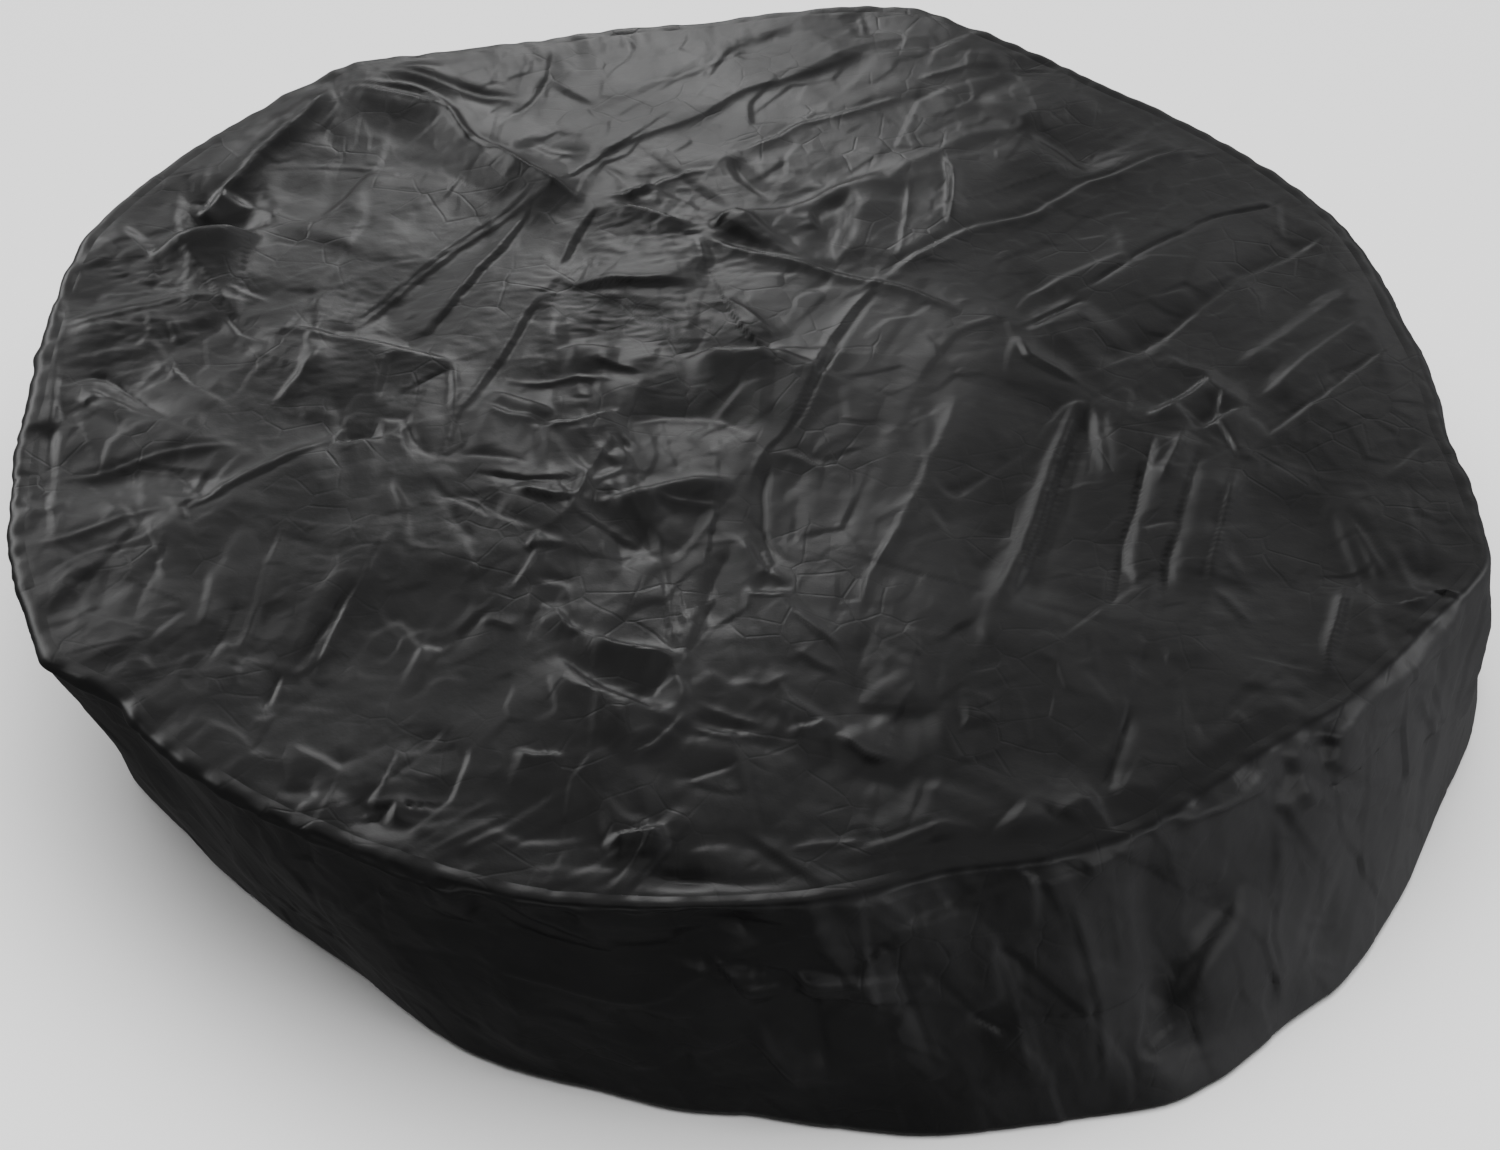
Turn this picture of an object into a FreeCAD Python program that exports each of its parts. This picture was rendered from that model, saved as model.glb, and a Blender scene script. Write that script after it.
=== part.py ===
import FreeCAD, Part
import math
import os

import Sketcher

# Spare tyre cover for a caravan or trailer wheel: a sewn, soft, round cover of
# coated polyester, lying empty and face up on its elasticated rear opening.
# Millimetres, +Z up. The origin is at the middle of the overall box, on the
# surface that the cover lies on. The slack side band leans, so the round face
# and the round foot of the band have different centres along X.
#
# Pieces: round face panel; one long side band, closed into a ring by a felled
# join; the join's stitching; the lockstitch row and the overlocked edge of the
# face seam; the hem binding and its stitching row; the elastic in the binding
# and the box tack that closes it.

doc = FreeCAD.newDocument("SpareTyreCover")
sheet = doc.addObject("Spreadsheet::Sheet", "Dimensions")


class Dim:
    """A size with its number and the expression that gives it from the sheet."""

    def __init__(self, value, text):
        self.value = float(value)
        self.text = text

    @staticmethod
    def of(other):
        if isinstance(other, Dim):
            return other
        return Dim(other, repr(float(other)))

    def __add__(self, other):
        o = Dim.of(other)
        return Dim(self.value + o.value, "(%s + %s)" % (self.text, o.text))

    def __sub__(self, other):
        o = Dim.of(other)
        return Dim(self.value - o.value, "(%s - %s)" % (self.text, o.text))

    def __mul__(self, other):
        o = Dim.of(other)
        return Dim(self.value * o.value, "(%s * %s)" % (self.text, o.text))

    def __truediv__(self, other):
        o = Dim.of(other)
        return Dim(self.value / o.value, "(%s / %s)" % (self.text, o.text))


ROWS = [
    ("cloth", 1.2, "drawn thickness of the coated cloth"),
    ("seam_radius", 351.0, "outside radius of the face panel at the face seam"),
    ("rim_radius", 360.0, "outside radius of the band where it rolls over the rim"),
    ("rim_height", 149.0, "height of the rim above the surface, lying slack"),
    ("crown", 8.0, "rise of the face panel's middle above the rim"),
    ("seam_gap", 0.4, "gap between the two plies of the face seam"),
    ("allowance", 10.0, "depth of the face seam's allowance"),
    ("roll_inner", 3.0, "radius of the edge at the seam"),
    ("roll_outer", 4.0, "radius of the band's roll over the rim"),
    ("foot_radius", 347.0, "outside radius of the band just above its turned-under foot"),
    ("foot_bend", 7.0, "radius of the turn-under at the foot"),
    ("lip_height", 1.2, "height of the turned-under cloth inside the hem binding"),
    ("lip_flat", 299.0, "where the turned-under cloth starts to rise off the surface"),
    ("lip_radius", 291.0, "inner edge of the turned-under cloth"),
    ("face_shift", -18.0, "centre of the face along X"),
    ("foot_shift", 31.0, "centre of the foot and hem along X"),
    ("binding_inner", 276.0, "radius of the rear opening inside the hem binding"),
    ("binding_outer", 296.0, "outer edge of the hem binding's plies"),
    ("binding_height", 3.8, "height of the folded hem binding"),
    ("binding_cloth", 0.8, "thickness of one ply of the hem binding"),
    ("elastic_inner", 278.5, "inner radius of the elastic in the binding"),
    ("elastic_width", 11.0, "width of the elastic"),
    ("elastic_thick", 0.7, "thickness of the elastic"),
    ("elastic_base", 1.0, "height of the elastic above the surface"),
    ("lap_angle", 5.0, "angle that the elastic's lapped ends cover"),
    ("hem_row_radius", 293.5, "radius of the hem's stitching row"),
    ("thread_radius", 0.3, "radius of the sewing thread"),
    ("thread_gap", 0.02, "clearance that keeps thread solids off the cloth"),
    ("overlock_thick", 0.5, "thickness of the overlock stitches"),
    ("overlock_rise", 5.5, "how far the overlock stitches reach up the seam's plies"),
    ("flap_width", 12.0, "width of the band's felled join"),
    ("flap_low", 14.0, "lower end of the felled join"),
    ("flap_high", 131.0, "upper end of the felled join"),
    ("join_azimuth", 97.0, "where the band is joined, as an angle from +X"),
]
size = {}
for i, (alias, value, words) in enumerate(ROWS, start=1):
    sheet.set("A%d" % i, words)
    sheet.set("B%d" % i, repr(value))
    sheet.setAlias("B%d" % i, alias)
    size[alias] = Dim(value, "Dimensions.%s" % alias)
doc.recompute()
V = FreeCAD.Vector


def plane_of(body, role):
    return next(f for f in body.Origin.OriginFeatures if f.Role == role)


def profile(body, name, points, arcs=None):
    """A closed outline in the body's XZ plane. points are (radius, height) as Dims;
    arcs gives {segment: (radius Dim, middle x, middle z)} for the segments that curve;
    a half circle gives its centre's x in place of the radius, and True at the end."""
    arcs = arcs or {}
    sk = body.newObject("Sketcher::SketchObject", name)
    sk.AttachmentSupport = [(plane_of(body, "XZ_Plane"), "")]
    sk.MapMode = "FlatFace"
    n = len(points)
    at = [V(Dim.of(x).value, Dim.of(z).value, 0) for x, z in points]
    ends = []
    for i in range(n):
        a, b = at[i], at[(i + 1) % n]
        if i in arcs:
            mx, mz = arcs[i][1:3]
            found = Part.Arc(a, V(mx, mz, 0), b).toShape().Curve
            curve = Part.Circle(found.Center, V(0, 0, 1), found.Radius)
            arc = Part.ArcOfCircle(curve, *sorted_range(curve, a, V(mx, mz, 0), b))
            sk.addGeometry(arc, False)
            start = arc.StartPoint
            ends.append((1, 2) if (start - a).Length < (start - b).Length else (2, 1))
        else:
            sk.addGeometry(Part.LineSegment(a, b), False)
            ends.append((1, 2))
    for i in range(n):
        j = (i + 1) % n
        sk.addConstraint(Sketcher.Constraint("Coincident", i, ends[i][1], j, ends[j][0]))
    for i, (x, z) in enumerate(points):
        for kind, axis, v in (("DistanceX", -2, Dim.of(x)), ("DistanceY", -1, Dim.of(z))):
            if abs(v.value) < 1e-9:
                sk.addConstraint(Sketcher.Constraint("PointOnObject", i, ends[i][0], axis))
            else:
                c = sk.addConstraint(Sketcher.Constraint(kind, -1, 1, i, ends[i][0], v.value))
                sk.setExpression("Constraints[%d]" % c, v.text)
    for i, (sized, *_, half) in ((k, v if len(v) == 4 else (*v, False)) for k, v in arcs.items()):
        d = Dim.of(sized)
        if half:
            c = sk.addConstraint(Sketcher.Constraint("DistanceX", -1, 1, i, 3, d.value))
        else:
            c = sk.addConstraint(Sketcher.Constraint("Radius", i, d.value))
        sk.setExpression("Constraints[%d]" % c, d.text)
    return sk


def sorted_range(circle, a, m, b):
    """The circle's parameters that run from one end to the other through the middle."""
    pa, pm, pb = (circle.parameter(p) for p in (a, m, b))
    turn = 2 * math.pi
    if (pm - pa) % turn < (pb - pa) % turn:
        return pa, pa + (pb - pa) % turn
    return pb, pb + (pa - pb) % turn


def mid_of_quarter(cx, cz, r, degrees):
    a = math.radians(degrees)
    return cx + r * math.cos(a), cz + r * math.sin(a)


def turned(label, points, arcs=None, angle=360.0, shift=None, azimuth=None):
    """A body made by turning an outline about its own vertical axis."""
    body = doc.addObject("PartDesign::Body", label + "_body")
    body.Label = label
    sk = profile(body, label + "_outline", points, arcs)
    doc.recompute()
    rev = body.newObject("PartDesign::Revolution", label + "_turn")
    rev.Profile = sk
    rev.ReferenceAxis = (sk, ["V_Axis"])
    rev.Angle = angle if not isinstance(angle, Dim) else angle.value
    if isinstance(angle, Dim):
        rev.setExpression("Angle", angle.text)
    sk.Visibility = False
    if shift is not None:
        body.Placement = FreeCAD.Placement(V(shift.value, 0, 0), FreeCAD.Rotation())
        body.setExpression(".Placement.Base.x", shift.text)
    if azimuth is not None:
        rot = FreeCAD.Rotation(V(0, 0, 1), azimuth)
        body.Placement = FreeCAD.Placement(body.Placement.Base, rot)
    doc.recompute()
    return body


s = size
t = s["cloth"]

# --- face panel: a crowned round panel whose sewn edge turns down into the seam
top, rf, ri = s["rim_height"], s["seam_radius"], s["roll_inner"]
span = rf - ri
crown_radius = (span * span + s["crown"] * s["crown"]) / (s["crown"] * 2)


def crown_mid(lower):
    r = crown_radius.value - lower
    x = span.value / 2
    return x, top.value + s["crown"].value - crown_radius.value + math.sqrt(r * r - x * x)


low = top - s["allowance"] - ri
face_panel = turned(
    "face_panel",
    [
        (0, top + s["crown"]),
        (span, top),
        (rf, top - ri),
        (rf, low),
        (rf - t, low),
        (rf - t, top - ri),
        (span, top - t),
        (0, top + s["crown"] - t),
    ],
    {
        0: (crown_radius, *crown_mid(0.0)),
        1: (ri, *mid_of_quarter(span.value, (top - ri).value, ri.value, 45)),
        5: (ri - t, *mid_of_quarter(span.value, (top - ri).value, (ri - t).value, 45)),
        6: (crown_radius, crown_mid(0.0)[0], crown_mid(0.0)[1] - t.value),
    },
    shift=s["face_shift"],
)

# --- the face seam's thread: the lockstitch row on the inner side of the panel's
# turned edge, and the overlocked raw edges below it
row_r = rf - t - s["thread_radius"] - s["thread_gap"]
row_z = top - ri - 2.0


def ring(label, major, minor, height, shift):
    """A row of stitches as one round ring of thread."""
    torus = doc.addObject("Part::Torus", label + "_ring")
    torus.Label = label
    torus.Radius1 = major.value
    torus.Radius2 = minor.value
    torus.setExpression("Radius1", major.text)
    torus.setExpression("Radius2", minor.text)
    torus.Placement = FreeCAD.Placement(V(shift.value, 0, height.value), FreeCAD.Rotation())
    torus.setExpression(".Placement.Base.x", shift.text)
    torus.setExpression(".Placement.Base.z", height.text)
    return torus


face_seam_stitching = ring(
    "face_seam_stitching", row_r, s["thread_radius"], row_z, s["face_shift"]
)

ply_in = rf - t - 0.3
ply_out = rf + s["seam_gap"] + t + 0.3
k = s["overlock_thick"]
base = low - 0.3
face_seam_overlock = turned(
    "face_seam_overlock",
    [
        (ply_in - k, base - k),
        (ply_out + k, base - k),
        (ply_out + k, base + s["overlock_rise"]),
        (ply_out, base + s["overlock_rise"]),
        (ply_out, base),
        (ply_in, base),
        (ply_in, base + s["overlock_rise"]),
        (ply_in - k, base + s["overlock_rise"]),
    ],
    shift=s["face_shift"],
)

# --- side band: from the seam's outer ply, over the rim, down the slack wall and
# in under the foot. The rim follows the face and the foot follows the hem; the
# wall between them leans, because the face lies off the centre of the foot.
bs = rf + s["seam_gap"]
ro, fb, lip = s["roll_outer"], s["foot_bend"], s["lip_height"]
rr, fr = s["rim_radius"], s["foot_radius"]
zt, zb = top - ro, fb
band_rim = turned(
    "band_rim",
    [
        (bs, low),
        (bs, top - ri),
        (bs + ri, top),
        (rr - ro, top),
        (rr, zt),
        (rr - t, zt),
        (rr - ro, top - t),
        (bs + ri, top - t),
        (bs + t, top - ri),
        (bs + t, low),
    ],
    {
        1: (ri, *mid_of_quarter((bs + ri).value, (top - ri).value, ri.value, 135)),
        3: (ro, *mid_of_quarter((rr - ro).value, zt.value, ro.value, 45)),
        5: (ro - t, *mid_of_quarter((rr - ro).value, zt.value, (ro - t).value, 45)),
        7: (ri - t, *mid_of_quarter((bs + ri).value, (top - ri).value, (ri - t).value, 135)),
    },
    shift=s["face_shift"],
)
band_foot = turned(
    "band_foot",
    [
        (fr, zb),
        (fr - fb, 0),
        (s["lip_flat"], lip),
        (s["lip_radius"], lip),
        (s["lip_radius"], lip + t),
        (s["lip_flat"], lip + t),
        (fr - fb, t),
        (fr - t, zb),
    ],
    {
        0: (fb, *mid_of_quarter((fr - fb).value, zb.value, fb.value, -45)),
        6: (fb - t, *mid_of_quarter((fr - fb).value, zb.value, (fb - t).value, -45)),
    },
    shift=s["foot_shift"],
)


ARCS = 24


def hoop(name, radius, centre, height):
    """A horizontal circle, as a wire of equal arcs, so that the wall's inner and outer
    surfaces are divided alike."""
    middle, r = V(centre.value, 0, height.value), radius.value
    at = [2 * math.pi * i / (2 * ARCS) for i in range(2 * ARCS)]
    on = [middle + V(r * math.cos(a), r * math.sin(a), 0) for a in at]
    edges = [
        Part.Arc(on[2 * i], on[2 * i + 1], on[(2 * i + 2) % (2 * ARCS)]).toShape()
        for i in range(ARCS)
    ]
    c = doc.addObject("Part::Feature", name)
    c.Shape = Part.Wire(edges)
    return c


def leaning_cone(name, inset):
    """The solid inside the wall's surface, less an inset, from foot to rim."""
    loft = doc.addObject("Part::Loft", name)
    loft.Sections = [
        hoop(name + "_low", fr - inset, s["foot_shift"], zb),
        hoop(name + "_high", rr - inset, s["face_shift"], zt),
    ]
    loft.Solid = True
    loft.Ruled = True
    return loft


def cut(name, base, tool):
    c = doc.addObject("Part::Cut", name)
    c.Base = base
    c.Tool = tool
    return c


band_wall = cut("band_wall", leaning_cone("wall_out", Dim(0, "0")), leaning_cone("wall_in", t))

# the join: the band's end laps inside the wall and is felled flat on it
lo, hi, fw = s["flap_low"], s["flap_high"], s["flap_width"]
join = s["join_azimuth"].value
lap_shell = cut(
    "lap_shell",
    leaning_cone("lap_out", t - 0.1),
    leaning_cone("lap_in", t * 2),
)
lap_block = doc.addObject("Part::Box", "lap_block")
lap_block.setExpression("Length", "60")
lap_block.setExpression("Width", fw.text)
lap_block.setExpression("Height", (hi - lo).text)


def on_wall(z, along, out):
    """A point out from the wall at a height, moved along the wall from the join."""
    share = (z - zb.value) / (zt.value - zb.value)
    r = fr.value + (rr.value - fr.value) * share
    cx = s["foot_shift"].value + (s["face_shift"].value - s["foot_shift"].value) * share
    a = math.radians(join) + along / r
    return V((r + out) * math.cos(a) + cx, (r + out) * math.sin(a), z)


a_low, a_high = on_wall(lo.value, 0, 0), on_wall(hi.value, 0, 0)
middle = (a_low + a_high) / 2
lap_block.Placement = FreeCAD.Placement(
    middle, FreeCAD.Rotation(V(0, 0, 1), join)
).multiply(
    FreeCAD.Placement(
        V(-30, -fw.value / 2, -(hi - lo).value / 2),
        FreeCAD.Rotation(),
    )
)
lap = doc.addObject("Part::Common", "band_lap")
lap.Base = lap_shell
lap.Tool = lap_block

side_band = doc.addObject("Part::MultiFuse", "side_band_fused")
side_band.Label = "side_band"
side_band.Shapes = [band_rim, band_wall, band_foot, lap]
doc.recompute()

# two rows of thread down the join, turned back on themselves at both ends
tr = s["thread_radius"].value
stand = tr + 0.15
corners = []
for along, z in ((-4.2, lo), (4.2, lo), (4.2, hi), (-4.2, hi)):
    corners.append(on_wall(z.value, along, stand))


def threads_along(label, loop, radius):
    """One closed run of thread through the given points."""
    made = []
    for i, a in enumerate(loop):
        b = loop[(i + 1) % len(loop)]
        rod = Part.makeCylinder(radius, (b - a).Length, a, b - a)
        made.append(rod)
        made.append(Part.makeSphere(radius * 1.02, a))
    run = made[0].multiFuse(made[1:])
    feature = doc.addObject("Part::Feature", label + "_run")
    feature.Label = label
    feature.Shape = run
    return feature


band_join_stitching = threads_along("band_join_stitching", corners, tr)

# --- hem binding: a folded strip that holds the elastic inside its fold and the
# band's edge between its plies
bi, bo, bh, bc = s["binding_inner"], s["binding_outer"], s["binding_height"], s["binding_cloth"]
hem_binding = turned(
    "hem_binding",
    [
        (bi + bh / 2, 0),
        (bo, 0),
        (bo, bc),
        (bi + bh / 2, bc),
        (bi + bh / 2, bh - bc),
        (bo, bh - bc),
        (bo, bh),
        (bi + bh / 2, bh),
    ],
    {
        3: (bi + bh / 2, bi.value + bc.value, bh.value / 2, True),
        7: (bi + bh / 2, bi.value, bh.value / 2, True),
    },
    shift=s["foot_shift"],
)
hem_stitching = ring(
    "hem_stitching",
    s["hem_row_radius"],
    s["thread_radius"],
    bh + s["thread_radius"] + s["thread_gap"],
    s["foot_shift"],
)

# --- elastic: one flat strap whose ends lap for a short way and are box-tacked
ei, ew, et, eb = s["elastic_inner"], s["elastic_width"], s["elastic_thick"], s["elastic_base"]
elastic_loop = turned(
    "elastic_loop",
    [(ei, eb), (ei + ew, eb), (ei + ew, eb + et), (ei, eb + et)],
    shift=s["foot_shift"],
)
elastic_end = turned(
    "elastic_end",
    [(ei, eb + et), (ei + ew, eb + et), (ei + ew, eb + et * 2), (ei, eb + et * 2)],
    angle=s["lap_angle"],
    shift=s["foot_shift"],
    azimuth=join,
)
hem_elastic = doc.addObject("Part::MultiFuse", "hem_elastic_fused")
hem_elastic.Label = "hem_elastic"
hem_elastic.Shapes = [elastic_loop, elastic_end]
doc.recompute()

tack_r = 0.16
tack_z = (eb + et * 2).value + tack_r + s["thread_gap"].value
box = []
for r, share in ((1.5, 0.12), (9.5, 0.12), (9.5, 0.88), (1.5, 0.88)):
    a = math.radians(join + (share - 0.5) * s["lap_angle"].value)
    r = ei.value + r
    box.append(V(r * math.cos(a) + s["foot_shift"].value, r * math.sin(a), tack_z))
elastic_tack_stitching = threads_along("elastic_tack_stitching", box, tack_r)
cross = elastic_tack_stitching.Shape
for a, b in ((box[0], box[2]), (box[1], box[3])):
    cross = cross.fuse(Part.makeCylinder(tack_r * 0.97, (b - a).Length, a, b - a))
elastic_tack_stitching.Shape = cross

doc.recompute()

# --- checks, then the files
for o in doc.Objects:
    if "Invalid" in o.State or "Error" in o.State:
        raise RuntimeError("%s failed to compute: %s" % (o.Label, o.State))

KEPT = [
    face_panel,
    face_seam_stitching,
    face_seam_overlock,
    side_band,
    band_join_stitching,
    hem_binding,
    hem_stitching,
    hem_elastic,
    elastic_tack_stitching,
]
os.makedirs("parts", exist_ok=True)
for o in KEPT:
    shape = o.Shape
    if shape.isNull() or not shape.isValid() or not shape.Solids:
        raise RuntimeError("%s has no valid solid" % o.Label)
for o in KEPT:
    shape = o.Shape
    shape.exportStep("parts/%s.step" % o.Label)
    b = shape.BoundBox
    print(
        "%-24s solids %2d volume %10.1f mm3  x %.1f..%.1f  y %.1f..%.1f  z %.2f..%.2f"
        % (o.Label, len(shape.Solids), shape.Volume, b.XMin, b.XMax, b.YMin, b.YMax, b.ZMin, b.ZMax)
    )
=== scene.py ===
import math

import bpy
import numpy as np
from mathutils import Matrix


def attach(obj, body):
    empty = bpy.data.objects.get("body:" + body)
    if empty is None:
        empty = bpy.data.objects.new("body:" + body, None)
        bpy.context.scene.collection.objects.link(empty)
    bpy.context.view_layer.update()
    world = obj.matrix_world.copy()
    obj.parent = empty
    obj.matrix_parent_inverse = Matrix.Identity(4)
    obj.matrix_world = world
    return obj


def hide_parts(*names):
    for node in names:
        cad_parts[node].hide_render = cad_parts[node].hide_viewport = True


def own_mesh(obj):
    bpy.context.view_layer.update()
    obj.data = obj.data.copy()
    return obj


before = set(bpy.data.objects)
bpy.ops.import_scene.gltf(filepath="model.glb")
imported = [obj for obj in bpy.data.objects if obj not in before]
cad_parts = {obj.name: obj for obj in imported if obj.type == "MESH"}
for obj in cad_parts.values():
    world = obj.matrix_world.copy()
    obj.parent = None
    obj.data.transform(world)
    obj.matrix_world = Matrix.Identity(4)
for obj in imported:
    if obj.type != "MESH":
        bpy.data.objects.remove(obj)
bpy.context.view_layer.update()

# Everything below is worked out in millimetres and turned into metres when a mesh is made.
TAU = 2 * math.pi
RIM_Z = 149.0                                   # height of the rim above the floor
RIM_CENTRE = np.array([-18.0, 3.8])             # the slumped face sits to one side of
FOOT_CENTRE = np.array([31.0, -3.8])            # the foot that rests on the floor
SEAM_INSET = 9.0                                # the face seam lies this far inside the rim
ROLL_R = 5.0                                    # how round the rim is
LIP_R = 291.0                                   # where the band's turned-under lip meets the binding
GIRTH = 355.0                                   # mean radius used to unroll the band
JOIN = math.radians(97.0)                       # where the band's two ends are sewn together

# angle (degrees from +X, counter-clockwise from above) and radius of the irregular rim and foot
RIM = [(11, 349), (25, 357), (41, 351), (54, 350), (68, 368), (74, 379), (79, 372), (93, 345), (110, 343), (120, 355), (126, 369),
       (137, 363), (147, 362), (160, 364), (173, 351), (183, 347), (195, 354), (201, 361), (211, 367), (214, 372), (221, 356),
       (223, 360), (231, 362), (240, 361), (249, 361), (258, 363), (269, 357), (278, 354), (286, 348), (293, 356), (300, 358),
       (312, 353), (324, 362), (332, 368), (340, 381), (355, 353)]
FOOT = [(20, 350), (60, 348), (100, 346), (140, 348), (180, 352), (200, 366), (209, 349), (221, 339), (230, 335), (242, 344),
        (246, 343), (252, 339), (258, 341), (264, 338), (272, 345), (277, 351), (285, 353), (289, 356), (295, 363), (300, 361),
        (308, 350), (313, 351), (318, 346), (329, 335), (335, 332), (345, 338)]

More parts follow.
